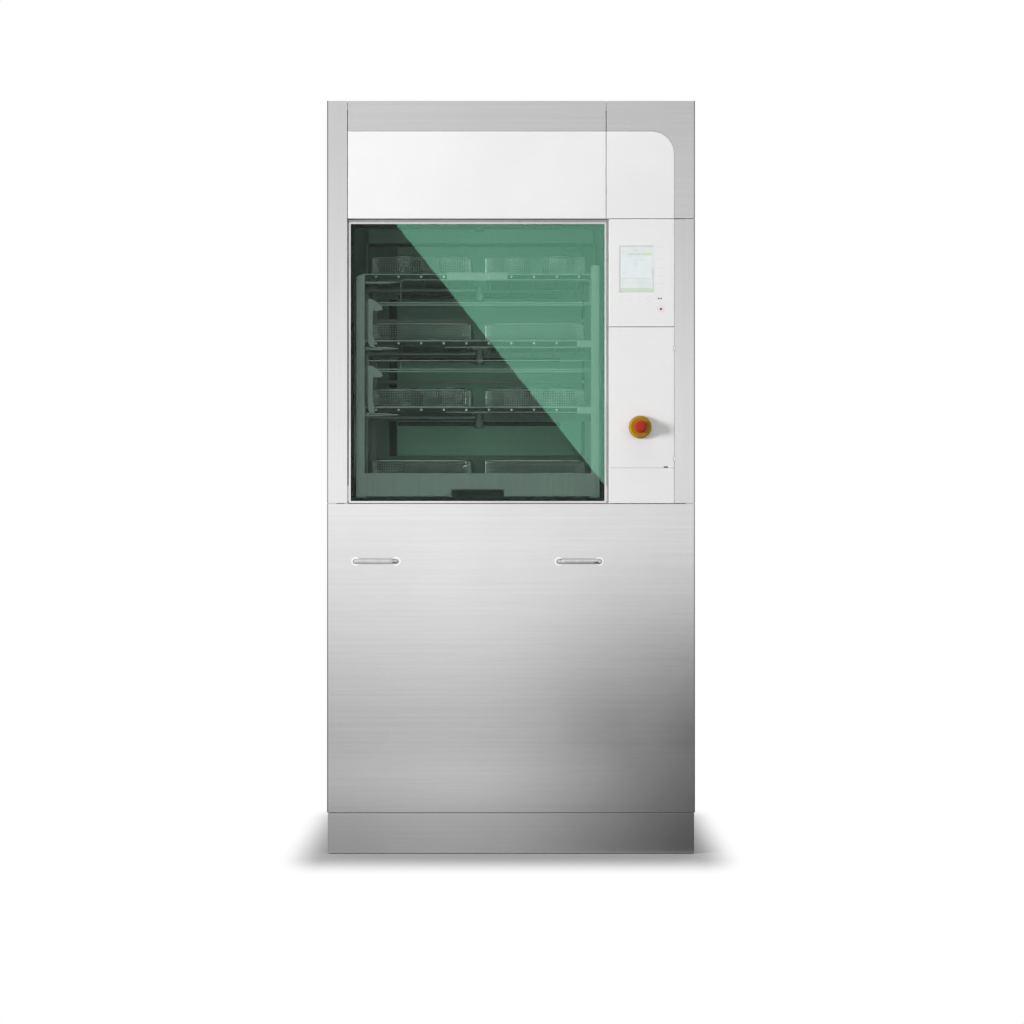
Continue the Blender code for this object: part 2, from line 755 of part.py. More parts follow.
def build_guides():
    """Two upright channels, seated on the chamber flange, in which the door's tongues run."""
    y0 = tongue_inset() - guide_clearance
    y1 = y0 + tongue_thickness + 2 * guide_clearance
    mouth = door_width / 2 + guide_clearance
    floor = door_width / 2 + tongue_reach + guide_clearance
    back = floor + guide_wall
    seat_y = flange_inset - seat_gap
    outline = [(mouth, y0 - guide_wall), (back, y0 - guide_wall), (back, seat_y), (floor, seat_y),
               (floor, y1 + guide_wall), (mouth, y1 + guide_wall), (mouth, y1), (floor, y1), (floor, y0),
               (mouth, y0)]
    height = door_z1 - guide_foot_z
    right = prism(outline, height, "Z")
    make_node("guide_right", right, stainless, (door_centre_x, 0, guide_foot_z))
    left = prism([(-x, y) for x, y in outline], height, "Z")
    make_node("guide_left", left, stainless, (door_centre_x, 0, guide_foot_z))


def build_belt_drive():
    """Two closed belts over a shaft above the door and one below, a counterweight and a gear motor."""
    inner = pulley_radius + seat_gap
    outer = belt_outer_radius
    rise = drive_z - idler_z

    def loop(radius):
        return arc(0, rise, radius, 0, 180, 12) + arc(0, 0, radius, 180, 360, 12)

    for side, shift in (("left", -belt_shift_x), ("right", belt_shift_x)):
        belt = moved(ring(loop(outer), loop(inner), belt_width, "X"), x=-belt_width / 2)
        make_node(f"belt_{side}", belt, rubber, (door_centre_x + shift, shaft_inset, idler_z))
    plates = bearing_plates()
    profile = [(0, -belt_shift_x - belt_width)]
    profile.append((shaft_radius, -belt_shift_x - belt_width))
    for middle in (-belt_shift_x, belt_shift_x):
        half = belt_width / 2 + seat_gap
        flange = outer + pulley_flange_rise
        profile += [(shaft_radius, middle - half - pulley_flange), (flange, middle - half - pulley_flange),
                    (flange, middle - half), (pulley_radius, middle - half), (pulley_radius, middle + half),
                    (flange, middle + half), (flange, middle + half + pulley_flange),
                    (shaft_radius, middle + half + pulley_flange)]
    shaft_end = plates[1] - door_centre_x + bearing_plate / 2
    profile += [(shaft_radius, shaft_end), (0, shaft_end)]
    for name, z in (("drive_shaft", drive_z), ("idler_shaft", idler_z)):
        make_node(name, turned(profile, 16, "X"), steel, (door_centre_x, shaft_inset, z), round_piece=True)
    weight_z0 = idler_z + counterweight_rise
    half = counterweight_width / 2
    plan = rounded(-half, half, 0, counterweight_depth, counterweight_edge, 2)
    weight = prism(plan, counterweight_height, "Z")
    make_node("counterweight", weight, cast_iron,
              (door_centre_x - belt_shift_x, counterweight_inset, weight_z0))
    half = gearbox_size / 2
    box = block(0, gearbox_length, -half / 2 - bearing_reach, half, -half, half)
    barrel = cylinder(motor_radius, gearbox_length - overrun, gearbox_length + motor_length, axis="X")
    weld("door_motor", [box, moved(barrel, y=sheet)], dark_plastic,
         location=(door_centre_x + shaft_end + seat_gap, shaft_inset, drive_z), round_piece=True)


def build_chamber():
    """The stainless wash chamber: rounded shell, front flange, sump, cart rails and arm pivots."""
    place = (door_centre_x, flange_inset, 0)
    half = chamber_width / 2 + chamber_wall
    depth = chamber_rear_inset - flange_inset + chamber_wall
    outline = rounded(-half, half, chamber_z0 - chamber_wall, chamber_z1 + chamber_wall, chamber_radius)
    shell = turned_over(pan(outline, depth, chamber_wall), half_turn, "Z")
    moved(shell, y=depth)
    reach = flange_width / 2
    flange_z0, flange_z1 = chamber_z0 - flange_reach, chamber_z1 + flange_reach
    plate = block(-reach, reach, 0, chamber_wall, flange_z0, flange_z1)
    solids = [shell]
    sump_z = chamber_z0 - sump_depth
    sump_y = cart_centre_inset - flange_inset
    wall = chamber_wall
    bowl = turned(((0, sump_z - wall), (sump_foot_radius + wall, sump_z - wall),
                   (sump_radius + wall, chamber_z0 - wall / 2), (0, chamber_z0 - wall / 2)), 24)
    solids.append(moved(bowl, y=sump_y))
    cavity = turned(((0, sump_z), (sump_foot_radius, sump_z), (sump_radius, chamber_z0 + overrun),
                     (0, chamber_z0 + overrun)), 24)
    node = weld("chamber_shell", solids, stainless, [moved(cavity, y=sump_y)], place)
    fittings = [plate]
    rail_x = cart_runner_x()
    for x0, x1 in rail_x:
        fittings.append(block(x0 - door_centre_x, x1 - door_centre_x, cart_front_gap, depth - cart_rear_gap,
                              chamber_z0 - overrun / 2, chamber_z0 + cart_rail_height))
    lower_column = turned(arm_pin_profile(sump_z - wall / 2, lower_arm_z()), 16)
    fittings.append(moved(lower_column, y=sump_y))
    upper_column = turned(arm_pin_profile(-chamber_z1 - wall / 2, -upper_arm_z()), 16)
    fittings.append(moved(turned_over(upper_column, half_turn, "X"), y=sump_y))
    added = [make_node("added", solid, stainless, place) for solid in fittings]
    apply_booleans(node, added, "UNION")
    opening = prism(rounded(-opening_width / 2, opening_width / 2, opening_z0, opening_z0 + opening_height,
                            opening_radius), chamber_wall + 2 * overrun)
    drain = moved(cylinder(drain_radius, sump_z - wall - overrun, sump_z + overrun, 16),
                  x=sump_foot_radius / 2, y=sump_y)
    cutters = [moved(opening, y=-overrun), drain]
    apply_booleans(node, [make_node("removed", solid, stainless, place) for solid in cutters], "DIFFERENCE")
    build_seal()
    build_sump_parts(sump_z)


def build_seal():
    """Rubber seal between the back of the door and the chamber flange."""
    inner_half = opening_width / 2 + seat_gap
    z0 = opening_z0 - seat_gap
    z1 = opening_z0 + opening_height + seat_gap
    inner = rounded(-inner_half, inner_half, z0, z1, opening_radius)
    outer_half = inner_half + seal_width
    outer = rounded(-outer_half, outer_half, z0 - seal_width, z1 + seal_width, opening_radius + seal_width)
    y0 = flange_inset - seat_gap - seal_thickness
    make_node("door_seal", ring(outer, inner, seal_thickness), rubber, (door_centre_x, y0, 0))


def build_sump_parts(sump_z):
    """Slotted strainer plate on the chamber floor, and the heater rod in the sump below it."""
    bore = feed_radius + seat_gap * 2
    plate = turned(((bore, 0), (strainer_radius, 0),
                    (strainer_radius - strainer_thickness / 2, strainer_thickness),
                    (bore, strainer_thickness)), 24)
    slots = []
    slot_half = feed_radius / 4
    for i in range(strainer_slots):
        slot = block(strainer_radius / 4, strainer_radius * 4 / 5, -slot_half, slot_half,
                     -overrun, strainer_thickness + overrun)
        slots.append(turned_over(slot, 2 * half_turn * i / strainer_slots, "Z"))
    weld("sump_strainer", [plate], stainless, slots,
         (door_centre_x, cart_centre_inset, chamber_z0 + seat_gap), round_piece=True)
    points = [(x, y, 0) for x, y in arc(0, 0, heater_ring_radius, 20, 340, 20)]
    rod = swept_rod(points, heater_rod_radius, 8)
    make_node("sump_heater", rod, steel,
              (door_centre_x, cart_centre_inset, sump_z + heater_rod_radius + seat_gap), round_piece=True)


def lower_arm_z():
    """Foot of the bottom arm's hub, just under the cart's base."""
    return cart_z0 - hub_height - pin_head_height - overrun


def upper_arm_z():
    """Top of the top arm's hub."""
    return chamber_z1 - hub_height


def arm_pin_profile(start, hub_start):
    """Feed column, pin through the hub and head, as radius and height, from the wall outwards."""
    shoulder = hub_start - seat_gap
    head = hub_start + hub_height + seat_gap
    return ((0, start), (feed_radius, start), (feed_radius, shoulder), (pin_radius, shoulder),
            (pin_radius, head), (pin_head_radius, head), (pin_head_radius, head + pin_head_height),
            (0, head + pin_head_height))


def spray_arm(name, location, reach=arm_reach):
    """Two flat hollow blades on a hub that turns about its feed pin. The origin is the hub's foot."""
    tip_x = reach - arm_tip
    outline = arc(tip_x, 0, arm_tip, -90, 90, 6) + [(0, arm_root)]
    outline += arc(-tip_x, 0, arm_tip, 90, 270, 6) + [(0, -arm_root)]
    blade = prism(outline, arm_thickness, "Z")
    edges = [e for e in blade.edges if abs(e.verts[0].co.z - e.verts[1].co.z) < merge_distance]
    bmesh.ops.bevel(blade, geom=edges, offset=arm_edge, segments=1, affect="EDGES", clamp_overlap=True)
    moved(blade, z=(hub_height - arm_thickness) / 2)
    hub = cylinder(hub_radius, 0, hub_height, 16)
    bore = cylinder(pin_radius + pin_clearance, -overrun, hub_height + overrun, 16)
    weld(name, [blade, hub], stainless, [bore], location, round_piece=True)


def build_spray_arms():
    spray_arm("bottom_spray_arm", (door_centre_x, cart_centre_inset, lower_arm_z()))
    spray_arm("top_spray_arm", (door_centre_x, cart_centre_inset, upper_arm_z() - hub_height))
    for name, z in zip(("lower", "middle", "upper"), shelf_z):
        spray_arm(f"cart_spray_arm_{name}", (door_centre_x, cart_centre_inset, cart_arm_z(z)))


def cart_arm_z(z):
    """Foot of the hub of the arm that hangs under the shelf at this height."""
    return z - pipe_drop - pipe_radius - seat_gap - hub_height


def cart_runner_x():
    """Left and right edges of each of the two rails that the cart stands on."""
    x0 = door_centre_x - chamber_width / 2 + cart_side_gap
    x1 = door_centre_x + chamber_width / 2 - cart_side_gap
    return ((x0, x0 + cart_rail_width), (x1 - cart_rail_width, x1))


def build_cart():
    """The wash cart: base plates and runners, four posts, three shelves, and the feed pipes."""
    (x0, _), (_, x1) = cart_runner_x()
    y0, y1 = cart_inset0, cart_inset1
    top = shelf_z[-1] + cart_post_rise
    solids = []
    cuts = []
    for near in (y0, y1 - cart_plate):
        solids.append(block(x0, x1, near, near + cart_plate, cart_z0, cart_base_z1))
    notch_half = cart_notch_width / 2
    notch = block(door_centre_x - notch_half, door_centre_x + notch_half, y0 - overrun, y1 + overrun,
                  cart_z0 - overrun, cart_z0 + cart_notch_height)
    for a0, a1 in cart_runner_x():
        solids.append(block(a0, a1, y0 + overrun / 2, y1 - overrun / 2,
                            cart_z0, cart_z0 + cart_runner_height))
        inner0 = a0 if a0 == x0 else a1 - cart_plate
        solids.append(block(inner0, inner0 + cart_plate, y0 + overrun / 2, y1 - overrun / 2,
                            cart_z0 + overrun, cart_base_z1 - overrun))
    post_rows = (y0 + overrun / 2, y1 - cart_post_width - overrun / 2)
    for a0 in (x0 + overrun / 2, x1 - cart_post_width - overrun / 2):
        for near in post_rows:
            solids.append(block(a0, a0 + cart_post_width, near, near + cart_post_width,
                                cart_z0 + overrun, top))
    base_z = shelf_z[0] - shelf_first_rise + basket_seat_rise()
    for z in [base_z] + shelf_z:
        solids += shelf_bars(x0, x1, y0, y1, z)
    for z in shelf_z[1:]:
        for near in (y0 + cart_post_width / 2, y1 - cart_post_width / 2 - shelf_bar):
            low = z - guard_drop - guard_height
            solids.append(block(x0 + cart_post_width / 2, x1 - cart_post_width / 2, near, near + shelf_bar,
                                low, low + guard_height))
    riser_x = x0 + cart_post_width / 2
    for z in shelf_z:
        pipe_z = z - pipe_drop
        length = door_centre_x + pipe_radius - riser_x
        pipe = moved(cylinder(pipe_radius, 0, length, 12, "X"), x=riser_x, y=cart_centre_inset, z=pipe_z)
        solids.append(pipe)
        hub_top = cart_arm_z(z) + hub_height
        head_top = -hub_height - seat_gap
        head_foot = head_top - pin_head_height
        pin = turned(((0, head_foot), (pin_head_radius, head_foot), (pin_head_radius, head_top),
                      (pin_radius, head_top), (pin_radius, pipe_radius), (0, pipe_radius)), 16)
        solids.append(moved(pin, x=door_centre_x, y=cart_centre_inset, z=hub_top))
    riser_low = cart_base_z1 - overrun
    riser_high = shelf_z[-1] - pipe_drop + pipe_radius
    solids.append(moved(cylinder(pipe_radius, riser_low, riser_high, 12), x=riser_x, y=cart_centre_inset))
    weld("cart_frame", solids, stainless, [notch])


def basket_seat_rise():
    """Height of the lowest basket's floor above the cart's foot."""
    return cart_plate_height - basket_floor_drop


def shelf_bars(x0, x1, y0, y1, z):
    """Front, rear and side bars of one shelf, and the three rails that the baskets stand on."""
    low = z - shelf_bar_height
    inner = cart_post_width / 4
    bars = []
    for near in (y0 + inner, y1 - inner - shelf_bar):
        bars.append(block(x0 + inner, x1 - inner, near, near + shelf_bar, low, z))
    rails = (x0 + inner, x1 - inner - shelf_bar, door_centre_x - shelf_bar / 2)
    for a0 in rails[:2]:
        bars.append(block(a0, a0 + shelf_bar, y0 + inner, y1 - inner, low, z - overrun / 4))
    for shift in (-1, 1):
        near = cart_centre_inset + shift * basket_length / 3
        bars.append(block(x0 + inner, x1 - inner, near - shelf_bar / 2, near + shelf_bar / 2,
                          z - shelf_bar_height / 2, z - overrun / 4))
    return bars


def build_baskets():
    """Open instrument baskets, two side by side on each level."""
    levels = [cart_z0 + basket_seat_rise()] + shelf_z
    names = ("base", "lower", "middle", "upper")
    half_gap = basket_between / 2
    places = {"left": door_centre_x - half_gap - basket_width, "right": door_centre_x + half_gap}
    y0 = cart_centre_inset - basket_length / 2
    for name, z in zip(names, levels):
        for side, x0 in places.items():
            outline = rounded(0, basket_width, 0, basket_length, basket_radius, 3)
            solid = pan(outline, basket_height, basket_wall, "Z")
            make_node(f"basket_{name}_{side}", solid, wire, (x0, y0, z + seat_gap))


def docking_bar(name, x):
    """A bow of round bar on two feet. Its origin is midway between the feet, on the front face."""
    half = docking_bar_length / 2 - docking_bar_radius
    reach = docking_bar_reach - docking_bar_radius
    bend = docking_bar_bend
    right = [(a, -b, 0) for a, b in arc(half - bend, reach - bend, bend, 0, 90, 5)]
    path = [(half, -docking_foot_height / 2, 0)] + right
    path += [(-a, b, c) for a, b, c in reversed(path)]
    solids = [swept_rod(path, docking_bar_radius, 12)]
    for side in (-half, half):
        foot = cylinder(docking_foot_radius, -docking_foot_height, -seat_gap, 16, "Y")
        solids.append(moved(foot, x=side))
    weld(name, solids, bright_steel, location=(x, 0, lower_panel_z1 - docking_bar_drop),
         round_piece=True)


def build_docking_bars():
    shift = opening_width / 2 - docking_bar_length / 2 - docking_bar_inset
    docking_bar("docking_bar_left", door_centre_x - shift)
    docking_bar("docking_bar_right", door_centre_x + shift)


def build_process_units():
    """Pump, dosing unit, electrical cabinet and dryer, each on the piece that carries it."""
    sump_foot = chamber_z0 - sump_depth - chamber_wall - seat_gap
    volute = cylinder(pump_body_radius, -pump_body_length / 2, pump_body_length / 2, axis="X")
    motor_x0 = pump_body_length / 2
    motor = cylinder(pump_motor_radius, motor_x0 - overrun, motor_x0 + pump_motor_length, axis="X")
    suction = cylinder(pump_pipe_radius, 0, pump_drop, 16)
    collar = cylinder(pump_pipe_flange, pump_drop - pump_flange_thickness, pump_drop, 16)
    outlet = moved(cylinder(pump_pipe_radius, 0, pump_body_radius * 2, 16, "Y"), z=-pump_body_radius / 2)
    weld("circulation_pump", [volute, motor, suction, collar, outlet], dark_plastic,
         location=(door_centre_x - sump_foot_radius / 3, cart_centre_inset, sump_foot - pump_drop),
         round_piece=True)
    dosing_y1 = post_inset - seat_gap
    dosing_y0 = dosing_y1 - dosing_depth
    dosing_x0 = middle_post_x0 + tube / 2
    solids = [block(0, dosing_width, 0, dosing_depth, 0, dosing_height)]
    first = dosing_height / 2 - dosing_head_pitch * (dosing_head_count - 1) / 2
    for i in range(dosing_head_count):
        head = cylinder(dosing_head_radius, -dosing_head_depth, overrun, 16, "Y")
        solids.append(moved(head, x=dosing_width / 2, z=first + i * dosing_head_pitch))
    weld("dosing_unit", solids, pale_plastic, location=(dosing_x0, dosing_y0, service_z0 + dosing_rise / 2),
         round_piece=True)
    margin = cabinet_lid_margin
    box = block(0, cabinet_width, 0, cabinet_depth, 0, cabinet_height)
    lid = block(cabinet_width - overrun, cabinet_width + cabinet_lid, margin, cabinet_depth - margin,
                margin, cabinet_height - margin)
    weld("control_cabinet", [box, lid], pale_plastic,
         location=(middle_post_x0, post_inset + tube + seat_gap, control_z0 + cabinet_rise))
    roof = chamber_z1 + chamber_wall + seat_gap
    half_w, half_d = dryer_box_width / 2, dryer_box_depth / 2
    filter_box = block(-half_w, half_w, -half_d, half_d,
                       dryer_duct_height, dryer_duct_height + dryer_box_height)
    duct = cylinder(dryer_duct_radius, 0, dryer_duct_height + overrun)
    scroll_z = dryer_duct_height + dryer_box_height
    scroll = cylinder(dryer_scroll_radius, scroll_z - overrun, scroll_z + dryer_scroll_height, 24)
    dryer_y = chamber_rear_inset - dryer_rear_gap - half_d
    weld("dryer_unit", [filter_box, duct, scroll], pale_plastic,
         location=(door_centre_x, dryer_y, roof), round_piece=True)


clear_scene()
front_datum = make_empty("front_datum", (0, front_y, 0))

stainless = make_finish("brushed_stainless", (0.60, 0.61, 0.61), 0.32, 1.0)
bright_steel = make_finish("bright_stainless", (0.78, 0.78, 0.79), 0.18, 1.0)
steel = make_finish("plain_steel", (0.42, 0.43, 0.44), 0.45, 1.0)
zinc = make_finish("zinc_plate", (0.55, 0.56, 0.57), 0.40, 1.0)
cast_iron = make_finish("cast_iron", (0.20, 0.20, 0.21), 0.70, 0.6)
wire = make_finish("wire_mesh", (0.55, 0.56, 0.56), 0.35, 1.0)
white = make_finish("white_panel", (0.86, 0.87, 0.88), 0.35, 0.0)
green_glass = make_finish("green_glass", (0.20, 0.42, 0.34), 0.03, 0.0, 0.35)
display_glass = make_finish("display_glass", (0.72, 0.84, 0.84), 0.12, 0.0)
lamp_red = make_finish("lamp_red", (0.75, 0.08, 0.07), 0.25, 0.0)
safety_yellow = make_finish("safety_yellow", (0.86, 0.52, 0.06), 0.40, 0.0)
safety_red = make_finish("safety_red", (0.72, 0.06, 0.06), 0.35, 0.0)
rubber = make_finish("black_rubber", (0.05, 0.05, 0.05), 0.75, 0.0)
dark_plastic = make_finish("dark_plastic", (0.10, 0.11, 0.12), 0.50, 0.0)
pale_plastic = make_finish("pale_plastic", (0.62, 0.64, 0.65), 0.50, 0.0)

build_base_frame()
build_feet()
build_outer_panels()
build_front_panels()
build_right_column()
build_control_panel()
build_service_door()
build_door()
build_guides()
build_belt_drive()
build_chamber()
build_spray_arms()
build_cart()
build_baskets()
build_docking_bars()
build_process_units()
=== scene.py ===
import math

import bmesh
import bpy
from mathutils import Matrix, Vector


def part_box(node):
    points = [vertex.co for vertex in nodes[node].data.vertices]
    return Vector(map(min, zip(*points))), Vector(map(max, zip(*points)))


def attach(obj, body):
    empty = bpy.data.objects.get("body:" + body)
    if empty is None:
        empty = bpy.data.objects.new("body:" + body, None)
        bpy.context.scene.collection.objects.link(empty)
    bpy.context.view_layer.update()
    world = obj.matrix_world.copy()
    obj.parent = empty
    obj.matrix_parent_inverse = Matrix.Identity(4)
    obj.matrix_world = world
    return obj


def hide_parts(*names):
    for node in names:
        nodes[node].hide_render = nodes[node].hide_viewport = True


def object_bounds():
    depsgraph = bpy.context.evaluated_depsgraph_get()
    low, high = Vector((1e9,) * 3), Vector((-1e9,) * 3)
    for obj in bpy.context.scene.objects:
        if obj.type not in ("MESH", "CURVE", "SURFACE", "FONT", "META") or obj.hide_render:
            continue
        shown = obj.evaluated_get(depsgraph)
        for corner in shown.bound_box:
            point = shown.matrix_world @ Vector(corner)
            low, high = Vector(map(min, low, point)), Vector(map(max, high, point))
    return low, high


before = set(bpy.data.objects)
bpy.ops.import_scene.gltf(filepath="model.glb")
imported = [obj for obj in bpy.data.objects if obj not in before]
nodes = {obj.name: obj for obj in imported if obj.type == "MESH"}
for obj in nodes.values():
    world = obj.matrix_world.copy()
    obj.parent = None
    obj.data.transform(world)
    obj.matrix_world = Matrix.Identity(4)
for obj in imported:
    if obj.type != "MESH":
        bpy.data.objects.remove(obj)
cad_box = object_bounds()
scene = bpy.context.scene
scene.view_settings.view_transform = "Standard"

# Camera
# The photograph is level and square on, with the lens at about the middle of the machine and
# some six metres in front of it. One pixel of it is 2.4457 mm on the front face.
pixel = 0.0024457
picture_size = 1024
picture_middle = 512
machine_middle = 511
floor_line = 854
camera_distance = 6.0
film_width = 36.0
front_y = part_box("lower_front_panel")[0].y
camera_place = Vector((
    (picture_middle - machine_middle) * pixel,
    front_y - camera_distance,
    (floor_line - picture_middle) * pixel,
))

bpy.ops.object.camera_add(location=camera_place, rotation=(math.pi / 2, 0, 0))
camera = bpy.context.active_object
camera.data.sensor_width = film_width
camera.data.lens = film_width * camera_distance / (picture_size * pixel)
scene.camera = camera


def seen_at(px, py, y):
    """The point at depth y that the photograph shows at a pixel."""
    scale = pixel * (y - camera_place.y) / camera_distance
    return Vector((
        camera_place.x + (px - picture_middle) * scale,
        y,
        camera_place.z - (py - picture_middle) * scale,
    ))


# Studio floor
# A pale floor that takes the machine's shadow and fades into the white background, with dark
# paint round the base as a painted shadow. In metal it shows as a surface that is dark beside the
# machine and bright far out in front of it.
floor_radius = 60.0
floor_sides = 96
# Dark paint near the base, a painted shadow that fades out beside and in front of the plinth.
floor_paint = (0.42, 0.42, 0.42, 1.0)
floor_roughness = 0.9
floor_fade_aside = 0.115
floor_fade_ahead = 0.32
plinth_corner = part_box("plinth_panel")[1]
# Pairs of a distance or a place on the floor and the brightness or share that it has there.
mirror_steps = (
    (0.5, 0.53), (1.2, 0.60), (2.1, 0.98), (3.3, 0.58),
    (5.2, 0.85), (9.0, 1.05), (17.0, 1.35), (40.0, 1.55),
)
dim_left = (-0.45, 0.15)
dim_middle = (-0.12, 0.0)
dusk_start = (-0.20, 0.0)
dusk_full = (-0.40, 1.0)
dusk_left = (-0.15, 0.0)
dusk_right = (0.50, 1.0)
dusk_near = (-5.3, 0.82)
dusk_far = (-20.0, 0.25)
dusk_fading = (1.0, 1.0)
dusk_gone = (2.0, 0.0)


def add_primitive(add, **settings):
    """Add a primitive with nothing else selected."""
    bpy.ops.object.select_all(action="DESELECT")
    add(**settings)
    return bpy.context.active_object


def add_node(tree, kind, **settings):
    node = tree.nodes.new(kind)
    for name, value in settings.items():
        setattr(node, name, value)
    return node


def feed(tree, socket, value):
    """Link a socket, or set it where the value is plain."""
    if isinstance(value, bpy.types.NodeSocket):
        tree.links.new(value, socket)
    else:
        socket.default_value = value


def arithmetic(tree, operation, first, second=0.0):
    node = add_node(tree, "ShaderNodeMath", operation=operation)
    feed(tree, node.inputs[0], first)
    feed(tree, node.inputs[1], second)
    return node.outputs["Value"]


def times(tree, product, *factors):
    for factor in factors:
        product = arithmetic(tree, "MULTIPLY", product, factor)
    return product


def remainder(tree, share):
    """What a share leaves of one."""
    return arithmetic(tree, "SUBTRACT", 1.0, share)


def past_edge(tree, coordinate, edge, fade):
    """The square of how many fades a coordinate lies outside an edge, on either side."""
    outside = arithmetic(tree, "SUBTRACT", arithmetic(tree, "ABSOLUTE", coordinate), edge)
    fades = arithmetic(tree, "MAXIMUM", arithmetic(tree, "DIVIDE", outside, fade))
    return arithmetic(tree, "POWER", fades, 2.0)


def value_range(tree, source, start, end, smooth=False):
    """Turn the span of values from start to end, each a pair of value and result, into results."""
    node = add_node(tree, "ShaderNodeMapRange", interpolation_type="SMOOTHSTEP" if smooth else "LINEAR")
    for name, value in zip(("From Min", "To Min", "From Max", "To Max"), (*start, *end)):
        node.inputs[name].default_value = value
    tree.links.new(source, node.inputs["Value"])
    return node.outputs["Result"]


def split_place(tree, output="Object"):
    """The three coordinates of Object space."""
    apart = add_node(tree, "ShaderNodeSeparateXYZ")
    tree.links.new(add_node(tree, "ShaderNodeTexCoord").outputs[output], apart.inputs["Vector"])
    return apart.outputs


def new_material(name):
    material = bpy.data.materials.new(name)
    material.use_nodes = True
    return material, material.node_tree, material.node_tree.nodes["Principled BSDF"]


def blend_surface(tree, factor, first, second):
    """Put out a blend of two shaders as the surface."""
    blend = add_node(tree, "ShaderNodeMixShader")
    for socket, source in zip(blend.inputs, (factor, first, second)):
        tree.links.new(source, socket)
    tree.links.new(blend.outputs["Shader"], tree.nodes["Material Output"].inputs["Surface"])


floor_material, tree, shader = new_material("pale_floor")
shader.inputs["Base Color"].default_value = floor_paint
shader.inputs["Roughness"].default_value = floor_roughness
spot = split_place(tree)
rays = add_node(tree, "ShaderNodeLightPath").outputs
# How far a spot lies outside the painted shadow round the plinth; there the camera sees white.
past = arithmetic(tree, "ADD", past_edge(tree, spot["X"], plinth_corner.x, floor_fade_aside),
                  past_edge(tree, spot["Y"], plinth_corner.y, floor_fade_ahead))
faded = value_range(tree, arithmetic(tree, "SQRT", past), (0.0, 0.0), (1.0, 1.0), smooth=True)
unshaded = times(tree, faded, rays["Is Camera Ray"])
mirrored = arithmetic(tree, "MAXIMUM", rays["Is Glossy Ray"], rays["Is Transmission Ray"])
distance = arithmetic(tree, "MAXIMUM", arithmetic(tree, "ABSOLUTE", spot["Y"]),
                      arithmetic(tree, "ABSOLUTE", spot["X"]))
level = mirror_steps[0][1]
for near, far in zip(mirror_steps, mirror_steps[1:]):
    step = value_range(tree, distance, (near[0], 0.0), (far[0], far[1] - near[1]))
    level = arithmetic(tree, "ADD", step, level)
outward = remainder(tree, arithmetic(tree, "DIVIDE", spot["Y"], camera_distance))
across = arithmetic(tree, "DIVIDE", spot["X"], arithmetic(tree, "MAXIMUM", outward, 1.0))
in_front = value_range(tree, spot["Y"], dusk_start, dusk_full)
dusk = times(tree, value_range(tree, across, dusk_left, dusk_right, smooth=True),
             value_range(tree, spot["Y"], dusk_near, dusk_far),
             value_range(tree, across, dusk_fading, dusk_gone, smooth=True), in_front)
dim = times(tree, value_range(tree, across, dim_left, dim_middle, smooth=True), in_front)
level = times(tree, level, remainder(tree, dusk), remainder(tree, dim))
glow = add_node(tree, "ShaderNodeEmission")
picked = add_node(tree, "ShaderNodeMix", data_type="FLOAT")
for socket, value in zip(picked.inputs, (mirrored, None, 1.0, level)):
    if value is not None:
        feed(tree, socket, value)
tree.links.new(picked.outputs["Result"], glow.inputs["Strength"])
blend_surface(tree, arithmetic(tree, "MAXIMUM", unshaded, mirrored), shader.outputs["BSDF"],
              glow.outputs["Emission"])
floor = add_primitive(bpy.ops.mesh.primitive_circle_add, vertices=floor_sides, radius=floor_radius,
                      fill_type="NGON")
floor.name = "floor"
floor.data.materials.append(floor_material)

# Studio light
# A white background that metal sees darker overhead, a lamp far out on the left that throws the
# emergency stop's long shadow, and soft lamps at the right, above and behind. Two green lamps at
# the chamber's mouth light the load as the glass colours it.
background_light = 0.30
horizon_mirror = (0.0, 1.52)
overhead_mirror = (0.17, 0.93)
left_mirror = (-0.15, 1.05)
right_mirror = (0.15, 0.80)
lamp_aim = (0.0, 0.0, 0.9)
lamps = (
    ("left_lamp", (-5.2, -3.0, 1.55), 1.4, 375.0),
    ("right_lamp", (4.2, -4.6, 2.2), 2.4, 50.0),
    ("top_lamp", (0.0, -0.6, 5.0), 3.6, 90.0),
    ("rear_lamp", (2.0, 5.5, 3.0), 3.0, 120.0),
)
chamber_lamps = (("chamber_lamp_low", 1.01, 0.42, 2.0), ("chamber_lamp_high", 1.47, 0.30, 0.7))
chamber_lamp_middle = -0.082
chamber_lamp_reach = (-0.24, 0.32)
chamber_lamp_colour = (0.47, 1.0, 0.71)

world = bpy.data.worlds.new("studio")
scene.world = world
world.use_nodes = True
tree = world.node_tree
rays = add_node(tree, "ShaderNodeLightPath").outputs
seen = arithmetic(tree, "MAXIMUM", rays["Is Camera Ray"], rays["Is Transmission Ray"])
heading = split_place(tree, "Generated")
climb = times(tree, value_range(tree, heading["Z"], horizon_mirror, overhead_mirror, smooth=True),
              value_range(tree, heading["X"], left_mirror, right_mirror, smooth=True))
blurred = arithmetic(tree, "SUBTRACT", rays["Is Glossy Ray"], rays["Is Singular Ray"])
in_metal = times(tree, arithmetic(tree, "MAXIMUM", blurred, 0.0), climb)
on_paint = times(tree, rays["Is Diffuse Ray"], background_light)
total = arithmetic(tree, "ADD", arithmetic(tree, "ADD", seen, in_metal), on_paint)
tree.nodes["Background"].inputs["Color"].default_value = (1.0, 1.0, 1.0, 1.0)
tree.links.new(total, tree.nodes["Background"].inputs["Strength"])


def add_lamp(name, place, aim, size, power):
    turn = (Vector(aim) - Vector(place)).to_track_quat("-Z", "Y").to_euler()
    lamp = add_primitive(bpy.ops.object.light_add, type="AREA", location=place, rotation=turn)
    lamp.name = name
    lamp.data.shape = "SQUARE"
    lamp.data.size = size
    lamp.data.energy = power
    lamp.visible_camera = False
    lamp.visible_glossy = False
    return lamp


